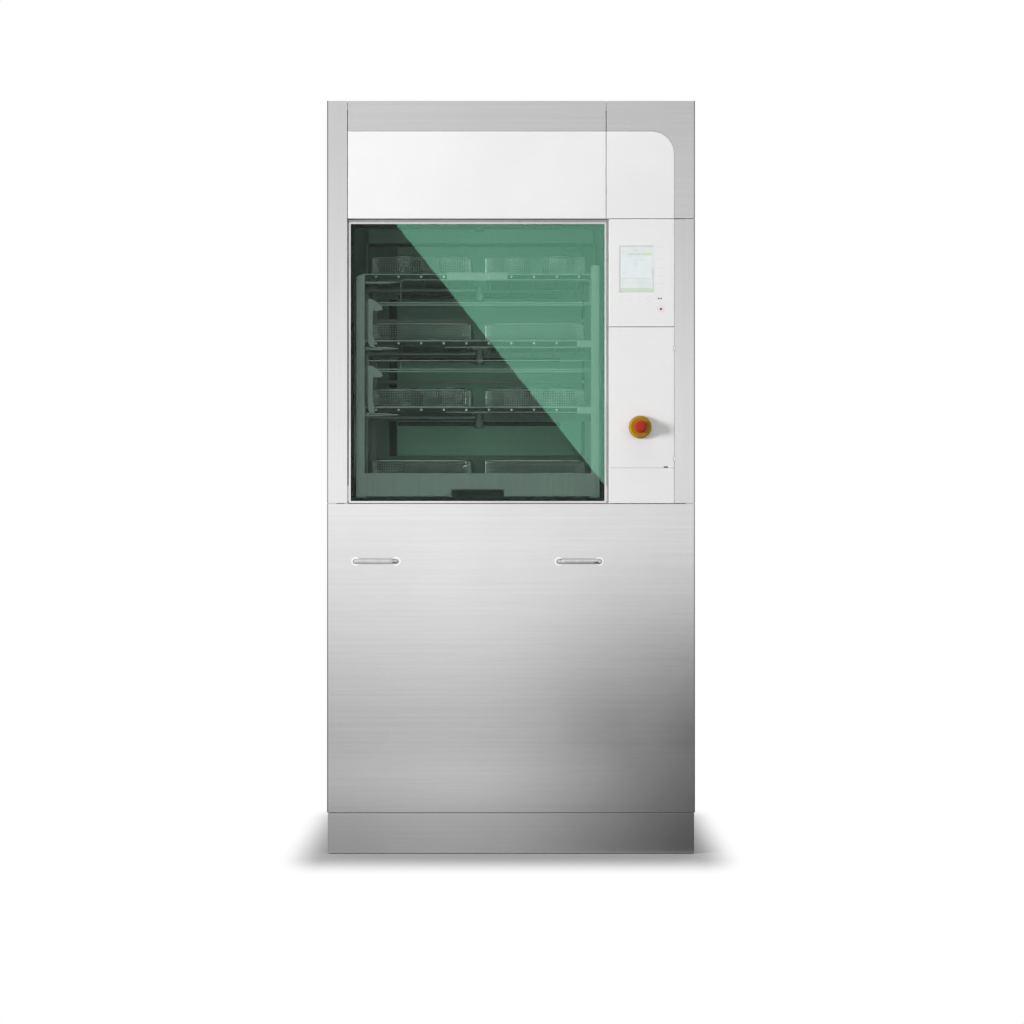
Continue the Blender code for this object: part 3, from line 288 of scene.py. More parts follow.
for name, place, size, power in lamps:
    add_lamp(name, place, lamp_aim, size, power)
for name, height, size, power in chamber_lamps:
    near, far = ((chamber_lamp_middle, y, height) for y in chamber_lamp_reach)
    add_lamp(name, near, far, size, power).data.color = chamber_lamp_colour

# Reflection in the door
# A green-white card behind the camera. The door's glass mirrors it, and its slanted edge
# crosses the pane from the upper left to the lower right. Only sharp mirroring meets it.
card_y = -9.0
card_light = (1.70, 5.0, 3.35, 1.0)
card_corner_pixels = ((376.5, 200.0), (648.0, 200.0), (648.0, 539.3))
glass_low, glass_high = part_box("door_glass")

card_material, tree, shader = new_material("reflection_card")
tree.nodes.remove(shader)
rays = add_node(tree, "ShaderNodeLightPath").outputs
glow = add_node(tree, "ShaderNodeEmission")
glow.inputs["Color"].default_value = card_light
clear = add_node(tree, "ShaderNodeBsdfTransparent")
blend_surface(tree, rays["Is Singular Ray"], clear.outputs["BSDF"], glow.outputs["Emission"])

card = add_primitive(bpy.ops.mesh.primitive_circle_add, vertices=len(card_corner_pixels), fill_type="NGON")
card.name = "reflection_card"
throw = (glass_low.y - card_y) / (glass_low.y - camera_place.y)
for corner, (px, py) in zip(card.data.vertices, card_corner_pixels):
    on_glass = seen_at(px, py, glass_low.y)
    corner.co = on_glass + (on_glass - camera_place) * throw
    corner.co.y = card_y
card.data.materials.append(card_material)
card.visible_camera = card.visible_diffuse = card.visible_transmission = card.visible_shadow = False

# Base frame
# Square tube and flat face bars, welded and ground, with the posts that carry the casing and
# the door drive. Bare mild steel would rust here, so it is dull pickled stainless.
grain_across = (6.0, 900.0, 900.0)
grain_deep = (900.0, 6.0, 900.0)
grain_upright = (900.0, 900.0, 6.0)
rub_radius = 0.0012
# The front corner folds, painted dark as painted shade, as pairs of a coordinate and the share of that dark
# colour there.
bend_aside = ((0.4466, 0.0), (0.4480, 1.0))
bend_ahead = ((-0.3258, 1.0), (-0.3246, 0.0))
fine_share, broad_share, broad_scale = 0.6, 0.4, 0.14
# Spans of a value, each from a pair of value and result to another such pair.
tone_span = ((0.3, 0.0), (0.7, 1.0))
smudge_span = ((0.35, 0.0), (0.68, 1.0))
smudge_on_grain = ((0.0, 0.9), (1.0, 1.0))
edge_samples = 4
edge_cloud = 60.0
edge_broken = ((0.35, 0.2), (0.65, 1.0))
edge_turned = ((0.99, 0.0), (0.80, 1.0))


def start_group(name, inputs, output_names):
    group = bpy.data.node_groups.new(name, "ShaderNodeTree")
    for label, kind in inputs:
        group.interface.new_socket(name=label, in_out="INPUT", socket_type=kind)
    for label in output_names:
        group.interface.new_socket(name=label, in_out="OUTPUT", socket_type="NodeSocketFloat")
    return group, group.nodes.new("NodeGroupInput").outputs, group.nodes.new("NodeGroupOutput").inputs


def add_noise(tree, scale, detail, roughness=0.5, stretch=None):
    """A cloud on Object coordinates, stretched where a stretch is given."""
    place = add_node(tree, "ShaderNodeTexCoord").outputs["Object"]
    if stretch:
        node = add_node(tree, "ShaderNodeVectorMath", operation="MULTIPLY")
        tree.links.new(place, node.inputs[0])
        tree.links.new(stretch, node.inputs[1])
        place = node.outputs["Vector"]
    noise = add_node(tree, "ShaderNodeTexNoise")
    tree.links.new(place, noise.inputs["Vector"])
    feed(tree, noise.inputs["Scale"], scale)
    noise.inputs["Detail"].default_value = detail
    noise.inputs["Roughness"].default_value = roughness
    return noise.outputs["Fac"]


# Brushed grain: long scratches along one direction, as a grinding belt leaves them.
brushed_grain, given, result = start_group(
    "brushed_grain", (("Stretch", "NodeSocketVector"),), ("Tone", "Height"))
fine = add_noise(brushed_grain, 1.0, 3.0, stretch=given["Stretch"])
broad = add_noise(brushed_grain, broad_scale, 2.0, stretch=given["Stretch"])
brushed_grain.links.new(fine, result["Height"])
mixed = arithmetic(brushed_grain, "ADD", times(brushed_grain, fine, fine_share),
                   times(brushed_grain, broad, broad_share))
brushed_grain.links.new(value_range(brushed_grain, mixed, *tone_span), result["Tone"])

# Handling marks: faint broad clouds, where a surface was wiped or touched.
handling_marks, given, result = start_group(
    "handling_marks", (("Scale", "NodeSocketFloat"),), ("Smudge",))
cloud = add_noise(handling_marks, given["Scale"], 4.0, 0.6)
handling_marks.links.new(value_range(handling_marks, cloud, *smudge_span, smooth=True), result["Smudge"])

# Surface peel: the very small waves of paint, foil and moulded plastic, or the pits of a casting.
surface_peel, given, result = start_group("surface_peel", (("Scale", "NodeSocketFloat"),), ("Height",))
surface_peel.links.new(add_noise(surface_peel, given["Scale"], 2.0), result["Height"])

# Worn and highlit edge: how far the normal turns within a small radius, broken up by a cloud. The lighter
# colour it brings is partly real wear and partly a painted highlight.
rubbed_edge, given, result = start_group("rubbed_edge", (("Radius", "NodeSocketFloat"),), ("Edge",))
soft = add_node(rubbed_edge, "ShaderNodeBevel", samples=edge_samples)
rubbed_edge.links.new(given["Radius"], soft.inputs["Radius"])
turn = add_node(rubbed_edge, "ShaderNodeVectorMath", operation="DOT_PRODUCT")
rubbed_edge.links.new(soft.outputs["Normal"], turn.inputs[0])
rubbed_edge.links.new(add_node(rubbed_edge, "ShaderNodeNewGeometry").outputs["Normal"], turn.inputs[1])
broken = value_range(rubbed_edge, add_noise(rubbed_edge, edge_cloud, 3.0), *edge_broken)
bent = value_range(rubbed_edge, turn.outputs["Value"], *edge_turned)
rubbed_edge.links.new(times(rubbed_edge, bent, broken), result["Edge"])


def place_group(tree, group, **values):
    node = add_node(tree, "ShaderNodeGroup", node_tree=group)
    for name, value in values.items():
        node.inputs[name].default_value = value
    return node.outputs


def mix_colours(tree, factor, first, second):
    """Mix two colours, each a socket or three plain numbers."""
    mix = add_node(tree, "ShaderNodeMix", data_type="RGBA")
    feed(tree, mix.inputs["Factor"], factor)
    for label, colour in (("A", first), ("B", second)):
        feed(tree, mix.inputs[label], (*colour, 1.0) if isinstance(colour, tuple) else colour)
    return mix.outputs["Result"]


def make_finish(name, dark, light, roughness, metallic=0.0, grain=None, peel=None, bump=0.12, depth=0.0001,
                marks=5.0, rub=None, bend=None, **plain):
    """A finish between two close colours, with grain or peel, smudges, lighter edges that are partly wear
    and partly a painted highlight, and painted shade on the front corner folds.
    """
    material, tree, shader = new_material(name)
    smudge = place_group(tree, handling_marks, Scale=marks)["Smudge"]
    if grain:
        brushed = place_group(tree, brushed_grain, Stretch=grain)
        tone = times(tree, brushed["Tone"], value_range(tree, smudge, *smudge_on_grain))
        height = brushed["Height"]
    else:
        tone = smudge
        height = place_group(tree, surface_peel, Scale=peel)["Height"]
    colour = mix_colours(tree, tone, dark, light)
    # Lighter edges: partly real wear, partly a painted highlight.
    if rub:
        edge = place_group(tree, rubbed_edge, Radius=rub_radius)["Edge"]
        colour = mix_colours(tree, edge, colour, rub)
    # The front corner folds are coloured dark: painted shade.
    if bend:
        spot = split_place(tree)
        on_bend = times(tree, value_range(tree, arithmetic(tree, "ABSOLUTE", spot["X"]), *bend_aside),
                        value_range(tree, spot["Y"], *bend_ahead))
        colour = mix_colours(tree, on_bend, colour, bend)
    tree.links.new(colour, shader.inputs["Base Color"])
    rough = value_range(tree, smudge, (0.0, roughness[0]), (1.0, roughness[1]))
    tree.links.new(rough, shader.inputs["Roughness"])
    ripple = add_node(tree, "ShaderNodeBump")
    ripple.inputs["Strength"].default_value = bump
    ripple.inputs["Distance"].default_value = depth
    tree.links.new(height, ripple.inputs["Height"])
    tree.links.new(ripple.outputs["Normal"], shader.inputs["Normal"])
    shader.inputs["Metallic"].default_value = metallic
    for socket, value in plain.items():
        shader.inputs[socket.replace("_", " ")].default_value = value
    return material


def coat(name, material):
    """Give a CAD node its finish."""
    slots = nodes[name].data.materials
    for index in range(len(slots)):
        slots[index] = material


frame_finish = make_finish("frame_steel", (0.36, 0.36, 0.355), (0.50, 0.50, 0.49), (0.42, 0.6), 1.0,
                           grain=grain_upright, rub=(0.62, 0.61, 0.6))
coat("base_frame", frame_finish)

# Levelling feet
# Zinc-plated threaded feet with a wide pad and a lock nut, which carry the frame.
zinc_finish = make_finish("zinc_plate", (0.42, 0.43, 0.44), (0.60, 0.61, 0.62), (0.3, 0.5), 1.0,
                          peel=420.0, marks=24.0, rub=(0.7, 0.7, 0.7))
for corner in ("front_left", "front_right", "rear_left", "rear_right"):
    coat("foot_" + corner, zinc_finish)

# Casing and plinth
# Folded 1.5 mm stainless sheet with a ground finish: the plinth skirt, the side panels, the rear
# panel and the top. Each edge is a tight fold, rounded as the press brake leaves it.
fold_radius = 0.0005
fold_segments = 2
fold_angle = math.radians(30)
corner_segments = 4
weld_distance = 0.00001
flat_angle = math.radians(0.5)
steel_dark = (0.575, 0.575, 0.575)
steel_light = (0.625, 0.625, 0.625)
steel_roughness = (0.15, 0.17)
# The dark colour put on the front corner folds as painted shade.
steel_bend = (0.22, 0.22, 0.22)
steel_bump = 0.03
across_finish = make_finish("brushed_across", steel_dark, steel_light, steel_roughness, 1.0,
                            grain=grain_across, bump=steel_bump, bend=steel_bend)
deep_finish = make_finish("brushed_deep", steel_dark, steel_light, steel_roughness, 1.0,
                          grain=grain_deep, bump=steel_bump)


def select_only(piece):
    bpy.ops.object.select_all(action="DESELECT")
    piece.select_set(True)
    bpy.context.view_layer.objects.active = piece


def edit_mode(pick=None):
    """Open the active piece for editing, with all of it or nothing picked where pick says so."""
    bpy.ops.object.mode_set(mode="EDIT")
    if pick:
        bpy.ops.mesh.select_all(action=pick)


def object_mode():
    bpy.ops.object.mode_set(mode="OBJECT")


def apply_modifier(piece, kind, **settings):
    select_only(piece)
    bpy.ops.object.modifier_add(type=kind)
    modifier = piece.modifiers[-1]
    for name, value in settings.items():
        setattr(modifier, name, value)
    bpy.ops.object.modifier_apply(modifier=modifier.name)


def settle(piece, name, finish, body="cabinet"):
    """Name a finished piece, put its place into its mesh, and give it its finish and body."""
    select_only(piece)
    bpy.ops.object.transform_apply(location=True, rotation=True, scale=True)
    piece.name = piece.data.name = name
    piece.data.materials.clear()
    piece.data.materials.append(finish)
    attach(piece, body)
    return piece


def copy_node(node):
    """A merged copy of a CAD node's mesh, with its flat faces made whole."""
    piece = bpy.data.objects.new(node + "_copy", nodes[node].data.copy())
    scene.collection.objects.link(piece)
    select_only(piece)
    bpy.ops.mesh.customdata_custom_splitnormals_clear()
    edit_mode("SELECT")
    bpy.ops.mesh.remove_doubles(threshold=weld_distance)
    bpy.ops.mesh.dissolve_limited(angle_limit=flat_angle)
    object_mode()
    return piece


def fold_sheet(node, finish, body="cabinet", corner=0.0):
    """Replace a CAD sheet by a copy with rounded folds, wider ones at the casing's front corners."""
    piece = copy_node(node)
    if corner:
        edit_mode("DESELECT")
        mesh = bmesh.from_edit_mesh(piece.data)
        for edge in mesh.edges:
            edge.select_set(all(abs(end.co.y - front_y) < weld_distance
                                and abs(abs(end.co.x) - cad_box[1][0]) < weld_distance
                                for end in edge.verts))
        mesh.select_flush(False)
        bpy.ops.mesh.bevel(offset=corner, segments=corner_segments, affect="EDGES")
        object_mode()
    bpy.ops.object.shade_smooth()
    apply_modifier(piece, "BEVEL", width=fold_radius, segments=fold_segments, limit_method="ANGLE",
                   angle_limit=fold_angle, harden_normals=True)
    settle(piece, node + "_sheet", finish, body)
    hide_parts(node)
    return piece


fold_sheet("plinth_panel", across_finish)
fold_sheet("top_panel", across_finish)
rear_sheet = fold_sheet("rear_panel", across_finish)
left_sheet = fold_sheet("left_side_panel", deep_finish)
right_sheet = fold_sheet("right_side_panel", deep_finish)

# Air slots and screws of the casing
# Two blocks of punched slots in the rear panel let the dryer and the drives breathe. The rear
# and side panels are held by countersunk stainless screws with a sunk socket.
slot_width = 0.006
slot_height = 0.075
slot_pitch = 0.018
slot_count = 14
slot_depth = 0.008
slot_heights = (1.62, 0.30)
screw_radius = 0.0045
screw_height = 0.0014
screw_socket = 0.0022
screw_inset = 0.0003
screw_sides = 18
facing_up = 0.9
screw_hole = 0.0049
hole_sides = 24
screw_edge = 0.018
screw_rows = 4
edge_segments = 2
screw_finish = make_finish("screw_steel", (0.5, 0.5, 0.5), (0.68, 0.68, 0.68), (0.2, 0.34), 1.0,
                           peel=900.0, marks=160.0, rub=(0.8, 0.8, 0.8))


def cut_away(piece, cutter):
    """Cut one solid out of a piece and throw the cutter away."""
    apply_modifier(piece, "BOOLEAN", object=cutter, operation="DIFFERENCE", solver="EXACT")
    bpy.data.objects.remove(cutter)


def join_all(pieces):
    select_only(pieces[0])
    for piece in pieces:
        piece.select_set(True)
    bpy.ops.object.join()
    return bpy.context.active_object


def add_block(low, high, edge=0.0):
    """A cube drawn to its two corners, with its edges rounded."""
    low, high = Vector(low), Vector(high)
    piece = add_primitive(bpy.ops.mesh.primitive_cube_add, size=1, location=(low + high) / 2)
    edit_mode()
    bpy.ops.transform.resize(value=high - low)
    if edge:
        bpy.ops.mesh.bevel(offset=edge, segments=edge_segments, affect="EDGES")
    object_mode()
    return piece


def add_screw(place, turn):
    """A countersunk head that lies flush: a drum with a sunk socket."""
    screw = add_primitive(bpy.ops.mesh.primitive_cylinder_add, vertices=screw_sides, radius=screw_radius,
                          depth=screw_height, location=(0.0, 0.0, -screw_height / 2 - screw_inset))
    edit_mode("DESELECT")
    mesh = bmesh.from_edit_mesh(screw.data)
    for face in mesh.faces:
        face.select_set(face.normal.z > facing_up)
    mesh.select_flush(True)
    bpy.ops.mesh.inset(thickness=screw_radius - screw_socket)
    bpy.ops.mesh.extrude_region_move(TRANSFORM_OT_translate={"value": (0.0, 0.0, -screw_height / 2)})
    object_mode()
    bpy.ops.object.transform_apply(location=True)
    screw.rotation_euler = turn
    screw.location = place
    return screw


rear_low, rear_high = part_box("rear_panel")
side_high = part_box("right_side_panel")[1]
blocks = []
for height in slot_heights:
    low = Vector((-slot_pitch * (slot_count - 1) / 2 - slot_width / 2, rear_high.y - slot_depth,
                  height - slot_height / 2))
    block = add_block(low, low + Vector((slot_width, 2 * slot_depth, slot_height)))
    apply_modifier(block, "ARRAY", count=slot_count, use_relative_offset=False, use_constant_offset=True,
                   constant_offset_displace=(slot_pitch, 0.0, 0.0))
    blocks.append(block)
cut_away(rear_sheet, join_all(blocks))

row_span = rear_high.z - rear_low.z - 4 * screw_edge
rows = [rear_low.z + 2 * screw_edge + row_span * row / (screw_rows - 1) for row in range(screw_rows)]
rear_columns = (rear_low.x + screw_edge, 0.0, rear_high.x - screw_edge)
rear_places = [(x, rear_high.y, z) for x in rear_columns for z in rows]
screw_plan = [(rear_sheet, (-math.pi / 2, 0.0, 0.0), rear_places)]
for sheet, side in ((left_sheet, -1), (right_sheet, 1)):
    screw_plan.append((sheet, (0.0, side * math.pi / 2, 0.0),
                       [(side * side_high.x, side_high.y - screw_edge, z) for z in rows]))
screws = []
for sheet, turn, places in screw_plan:
    holes = []
    for place in places:
        holes.append(add_primitive(bpy.ops.mesh.primitive_cylinder_add, vertices=hole_sides,
                                   radius=screw_hole, depth=slot_depth, location=place, rotation=turn))
        screws.append(add_screw(place, turn))
    cut_away(sheet, join_all(holes))
settle(join_all(screws), "casing_screws", screw_finish)

# Front sheets
# The lower front panel, the two columns and the header are ground stainless pans that hook on
# the face bars, the columns ground upright and the others across. A lip over the door closes
# the gap below the left fascia.
corner_fold = 0.0026
lip_rise = 0.0008
lip_gap = 0.0004
lip_reach = 0.004
lip_edge = 0.0003
upright_finish = make_finish("brushed_upright", steel_dark, steel_light, steel_roughness, 1.0,
                             grain=grain_upright, bump=steel_bump, bend=steel_bend)
for panel in ("lower_front_panel", "header_panel", "header_corner"):
    fold_sheet(panel, across_finish, corner=corner_fold)
for panel in ("left_column", "right_column"):
    fold_sheet(panel, upright_finish, corner=corner_fold)

fascia_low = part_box("fascia_left")[0]
door_low, door_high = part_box("door_frame")
panel_low, panel_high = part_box("control_panel")
lip = add_block((fascia_low.x, door_low.y, door_high.z + lip_rise),
                (panel_low.x - lip_gap, door_low.y + lip_reach, fascia_low.z + lip_reach), lip_edge)
settle(lip, "door_head_lip", across_finish)

# White panels
# Sheet steel, powder coated white: the two fascias, the control panel, the service door and the
# fixed cover below it. Pale silicone fills the seam over the cover and the one along the right
# column.
seam_gap = 0.0002
seal_foot = 0.00005
seal_head_gap = 0.0003
side_seal_near = 0.0006
side_seal_far = 0.0014
side_seal_depth = 0.004
white_finish = make_finish("white_powder_coat", (0.82, 0.82, 0.82), (0.85, 0.85, 0.85), (0.38, 0.5),
                           peel=700.0, marks=3.0)
for panel in ("fascia_left", "fascia_right", "control_panel", "service_cover"):
    fold_sheet(panel, white_finish)
fold_sheet("service_door", white_finish, "service_door")

white_seal_finish = make_finish("white_silicone", (0.74, 0.74, 0.735), (0.78, 0.78, 0.775), (0.5, 0.65),
                                peel=900.0, marks=12.0)
cover_low, cover_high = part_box("service_cover")
seal_front = cover_low.y + seam_gap
white_seals = [
    add_block((cover_low.x, seal_front, cover_high.z + seal_foot),
              (cover_high.x, cover_high.y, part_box("service_door")[0].z - seal_head_gap)),
    add_block((cover_high.x + side_seal_near, seal_front, cover_low.z),
              (cover_high.x + side_seal_far, cover_low.y + side_seal_depth, panel_high.z)),
]
settle(join_all(white_seals), "white_panel_seals", white_seal_finish)

# Docking bars
# Two bent and polished stainless rods on round foot plates, where the transfer trolley hooks in.
polished_finish = make_finish("polished_stainless", (0.70, 0.70, 0.69), (0.80, 0.80, 0.79), (0.12, 0.2), 1.0,
                              peel=300.0, bump=0.05, marks=30.0)
for side in ("left", "right"):
    coat("docking_bar_" + side, polished_finish)

# Door drive
# Two channels guide the door, two belts carry it over pulleys on the upper and lower shafts, a
# cast counterweight hangs at the back of the left belt, and a gear motor turns the upper shaft.
shaft_finish = make_finish("turned_steel", (0.44, 0.44, 0.45), (0.6, 0.6, 0.61), (0.25, 0.4), 1.0,
                           grain=grain_upright, rub=(0.72, 0.72, 0.72))
belt_finish = make_finish("belt_rubber", (0.018, 0.018, 0.019), (0.04, 0.04, 0.04), (0.6, 0.8),
                          peel=900.0, marks=18.0, bump=0.3)
cast_finish = make_finish("cast_iron", (0.09, 0.095, 0.10), (0.15, 0.155, 0.16), (0.55, 0.75), 0.4,
                          peel=260.0, marks=14.0, bump=0.5, depth=0.0006, rub=(0.3, 0.3, 0.3))
motor_finish = make_finish("motor_paint", (0.05, 0.055, 0.06), (0.085, 0.09, 0.095), (0.4, 0.6),
                           peel=500.0, marks=16.0, bump=0.3, rub=(0.28, 0.28, 0.28))
for side in ("left", "right"):
    coat("guide_" + side, upright_finish)
    coat("belt_" + side, belt_finish)
coat("drive_shaft", shaft_finish)
coat("idler_shaft", shaft_finish)
coat("counterweight", cast_finish)
coat("door_motor", motor_finish)

# Door
# A slim stainless rim with a pane of toughened green glass on black tape, and the rubber seal
# round the chamber's mouth behind it. The glass lets lamps through, so that the chamber is lit.
tape_width = 0.0075
tape_gap = 0.00006
tape_back = 0.00024
glass_cloud = 2.2
glass_index = 1.5
glass_thin = (0.44, 0.53, 0.485)
glass_thick = (0.42, 0.51, 0.465)
glass_lamp_tint = (0.52, 0.60, 0.56, 1.0)
rim_finish = make_finish("door_rim", (0.62, 0.62, 0.62), (0.74, 0.74, 0.74), (0.2, 0.3), 1.0,
                         grain=grain_upright)
fold_sheet("door_frame", rim_finish, "door")
seal_finish = make_finish("seal_rubber", (0.012, 0.012, 0.012), (0.03, 0.03, 0.03), (0.45, 0.65),
                          peel=800.0, marks=20.0, bump=0.25)
coat("door_seal", seal_finish)

tape_finish = make_finish("glazing_tape", (0.006, 0.006, 0.006), (0.016, 0.016, 0.016), (0.6, 0.8),
                          peel=700.0, marks=20.0, bump=0.2)
tape = add_block((glass_low.x, glass_high.y + tape_gap, glass_low.z),
                 (glass_high.x, glass_high.y + tape_back, glass_high.z))
cut_away(tape, add_block((glass_low.x + tape_width, glass_high.y - tape_width, glass_low.z + tape_width),
                         (glass_high.x - tape_width, glass_high.y + tape_width, glass_high.z - tape_width),
                         tape_width / 2))
settle(tape, "glazing_tape", tape_finish, "door")

green_glass, tree, shader = new_material("green_glass")
cloud = place_group(tree, handling_marks, Scale=glass_cloud)["Smudge"]
tree.links.new(mix_colours(tree, cloud, glass_thin, glass_thick), shader.inputs["Base Color"])
shader.inputs["Roughness"].default_value = 0.0
shader.inputs["Transmission Weight"].default_value = 1.0
shader.inputs["IOR"].default_value = glass_index
lamp_way = add_node(tree, "ShaderNodeBsdfTransparent")
lamp_way.inputs["Color"].default_value = glass_lamp_tint
blend_surface(tree, add_node(tree, "ShaderNodeLightPath").outputs["Is Shadow Ray"], shader.outputs["BSDF"],
              lamp_way.outputs["BSDF"])
coat("door_glass", green_glass)

# Wash chamber
# Deep-drawn and welded stainless, electropolished to a soft dull shine. A strainer lies over
# its sump, a heater lies in it, and a spray arm turns at its bottom and at its top.
chamber_finish = make_finish("chamber_steel", (0.36, 0.37, 0.365), (0.45, 0.46, 0.455), (0.4, 0.55), 0.75,
                             grain=grain_upright, bump=0.06, marks=4.0)
# The spray arms, the strainer and the cart's shelf webs get a near-black steel colour: painted shade.
arm_finish = make_finish("spray_arm_steel", (0.055, 0.06, 0.058), (0.09, 0.095, 0.092), (0.28, 0.4), 1.0,
                         grain=grain_across, rub=(0.3, 0.3, 0.3))
coat("chamber_shell", chamber_finish)
coat("sump_heater", shaft_finish)
for piece in ("sump_strainer", "bottom_spray_arm", "top_spray_arm"):
    coat(piece, arm_finish)

# Water and air units
# The circulation pump hangs under the sump, the dryer with its filter stands on the chamber's
# roof, and the dosing unit and the electrical cabinet stand beside the chamber.
pump_finish = make_finish("pump_housing", (0.06, 0.065, 0.07), (0.10, 0.105, 0.11), (0.35, 0.55),
                          peel=350.0, marks=15.0, bump=0.35, rub=(0.25, 0.25, 0.25))
grey_finish = make_finish("grey_housing", (0.60, 0.61, 0.61), (0.68, 0.69, 0.69), (0.4, 0.55),
                          peel=600.0, marks=8.0, bump=0.2, rub=(0.78, 0.78, 0.78))
coat("circulation_pump", pump_finish)
for unit in ("dryer_unit", "dosing_unit", "control_cabinet"):
    coat(unit, grey_finish)

# Wash cart
# A welded and electropolished frame with three shelves above its base and a turning spray arm
# under each. The shelves' front bars are cut through, with a web behind the gap that is coloured
# near black as painted shade, and the left front post ends in a slant.
shelf_bar = 0.015
shelf_lip = 0.0026
guard_drop = 0.070
guard_bar = 0.008
guard_lip = 0.0024
cart_post = 0.020
basket_seat = 0.0003
bar_cut_end = 1.1 * cart_post
bar_cut_depth = 0.6 * cart_post
bar_cut_drop = 1.1 * shelf_bar
web_front = 0.37 * cart_post
web_back = 0.49 * cart_post
web_drop = 0.97 * shelf_bar
web_edge = 0.0003
post_cut_lead = cart_post / 4
post_cut_depth = 1.5 * cart_post
post_cut_pixels = ((355.0, 277.6), (367.0, 272.2), (367.0, 260.0), (355.0, 260.0))
cart_low, cart_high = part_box("cart_frame")
upper_shelves = ("lower", "middle", "upper")
shelf_tops = [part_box(f"basket_{shelf}_left")[0].z - basket_seat for shelf in upper_shelves]
cart_finish = make_finish("cart_steel", (0.52, 0.53, 0.525), (0.64, 0.65, 0.645), (0.34, 0.46), 1.0,
                          grain=grain_upright, rub=(0.8, 0.8, 0.8))
for shelf in upper_shelves:
    coat("cart_spray_arm_" + shelf, arm_finish)


def cut_plate(outline, y, thickness, edge=0.0):
    """A flat plate that faces the front, from an outline of (x, z) points."""
    piece = add_primitive(bpy.ops.mesh.primitive_circle_add, vertices=len(outline), fill_type="NGON")
    for vertex, (x, z) in zip(piece.data.vertices, outline):
        vertex.co = (x, y, z)
    edit_mode("SELECT")
    bpy.ops.mesh.extrude_region_move(TRANSFORM_OT_translate={"value": (0.0, thickness, 0.0)})
    bpy.ops.mesh.select_all(action="SELECT")
    bpy.ops.mesh.normals_make_consistent(inside=False)
    if edge:
        bpy.ops.mesh.bevel(offset=edge, segments=edge_segments, affect="EDGES")
    object_mode()
    return piece


def pixel_outline(points, y):
    return [(spot.x, spot.z) for spot in (seen_at(px, py, y) for px, py in points)]


cart = copy_node("cart_frame")
cuts, webs = [], []
for top in shelf_tops:
    cuts.append(add_block((cart_low.x + bar_cut_end, cart_low.y, top - bar_cut_drop),
                          (cart_high.x - bar_cut_end, cart_low.y + bar_cut_depth, top - shelf_lip)))
    webs.append(add_block((cart_low.x + cart_post, cart_low.y + web_front, top - web_drop),
                          (cart_high.x - cart_post, cart_low.y + web_back, top - shelf_lip / 2), web_edge))
settle(join_all(webs), "cart_shelf_webs", arm_finish)
cuts.append(cut_plate(pixel_outline(post_cut_pixels, cart_low.y), cart_low.y - post_cut_lead,
                      post_cut_depth))
for top in shelf_tops[1:]:
    high = top - guard_drop - guard_lip
    cuts.append(add_block((cart_low.x + bar_cut_end, cart_low.y, high - guard_bar + 2 * guard_lip),
                          (cart_high.x - bar_cut_end, cart_low.y + cart_post, high)))
cut_away(cart, join_all(cuts))
select_only(cart)
bpy.ops.object.shade_smooth_by_angle(angle=fold_angle)
settle(cart, "cart_frame_welded", cart_finish)
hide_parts("cart_frame")

# Cart wires, brackets and plates
# Wires run from front to back in the height of each shelf's bars, and their ends, coloured near
# white as a painted highlight, show in the cuts. Tapered pegs point in from the left, bent and
# straight rods guard the load, and flat brackets stand beside the left post. All of it is
# stainless rod, wire and plate, welded on.
wire_radius = 0.0019
wire_end_radius = 0.0029
wire_end_flatness = 0.7
wire_end_sides, wire_end_rings = 10, 6
wire_start = 0.0035
wire_stop = 0.012
wire_pixels = (376.0, 398.7, 421.3, 443.9, 466.5, 489.0, 511.4, 534.0, 556.6, 579.0)
peg_rows = (282.5, 348.7, 415.0)
peg_span = (364.0, 398.5)
peg_depth = 0.03
peg_radius = 0.0058
peg_tip_radius = 0.0014
peg_straight = 0.45
peg_turns = 20
rod_radius = 0.0013
rod_corner = 0.010
rod_depth = 0.006
rod_smoothing = 1.6 * fold_angle
spun_smoothing = 1.5 * fold_angle
spun_weld = 4 * weld_distance
rod_paths = (
    ((401, 303.5), (401, 279.8), (590, 279.8), (590, 303.5)),
    ((367, 360.9), (592, 360.9)),
    ((445.6, 347.6), (591, 347.6)),
    ((445.6, 412.4), (591, 412.4)),
    ((401, 361.0), (401, 369.5)),
)
plate_depth = 0.002
plate_thickness = 0.003
plate_edge = 0.0006
bracket_edge = 0.0005
bracket_drops = (0.0, 66.6)
bracket_pixels = (
    (368.2, 343.0), (370.2, 347.0), (374.5, 347.0), (374.5, 339.4), (372.8, 336.0), (372.8, 311.0),
    (380.0, 311.0), (383.0, 309.8), (381.8, 306.4), (372.6, 299.2), (368.2, 299.2),
)
plate_pixels = ((447.0, 272.6, 507.5, 280.2), (577.0, 341.2, 591.5, 347.2), (577.0, 408.0, 591.5, 414.0))


def spin_profile(profile, turns):
    """A round piece: a corner is drawn out along its profile, then spun about the upright axis."""
    piece = add_primitive(bpy.ops.mesh.primitive_plane_add, size=profile[1][0] / 4,
                          location=(profile[0][0], 0.0, profile[0][1]))
    edit_mode()
    bpy.ops.mesh.merge(type="CENTER")
    for before, after in zip(profile, profile[1:]):
        step = (after[0] - before[0], 0.0, after[1] - before[1])
        bpy.ops.mesh.extrude_vertices_move(TRANSFORM_OT_translate={"value": step})
    bpy.ops.mesh.select_all(action="SELECT")
    bpy.ops.mesh.spin(steps=turns, angle=2 * math.pi, center=(0.0, 0.0, 0.0), axis=(0.0, 0.0, 1.0))
    bpy.ops.mesh.select_all(action="SELECT")
    bpy.ops.mesh.remove_doubles(threshold=spun_weld)
    bpy.ops.mesh.normals_make_consistent(inside=False)
    object_mode()
    bpy.ops.object.transform_apply(location=True)
    return piece


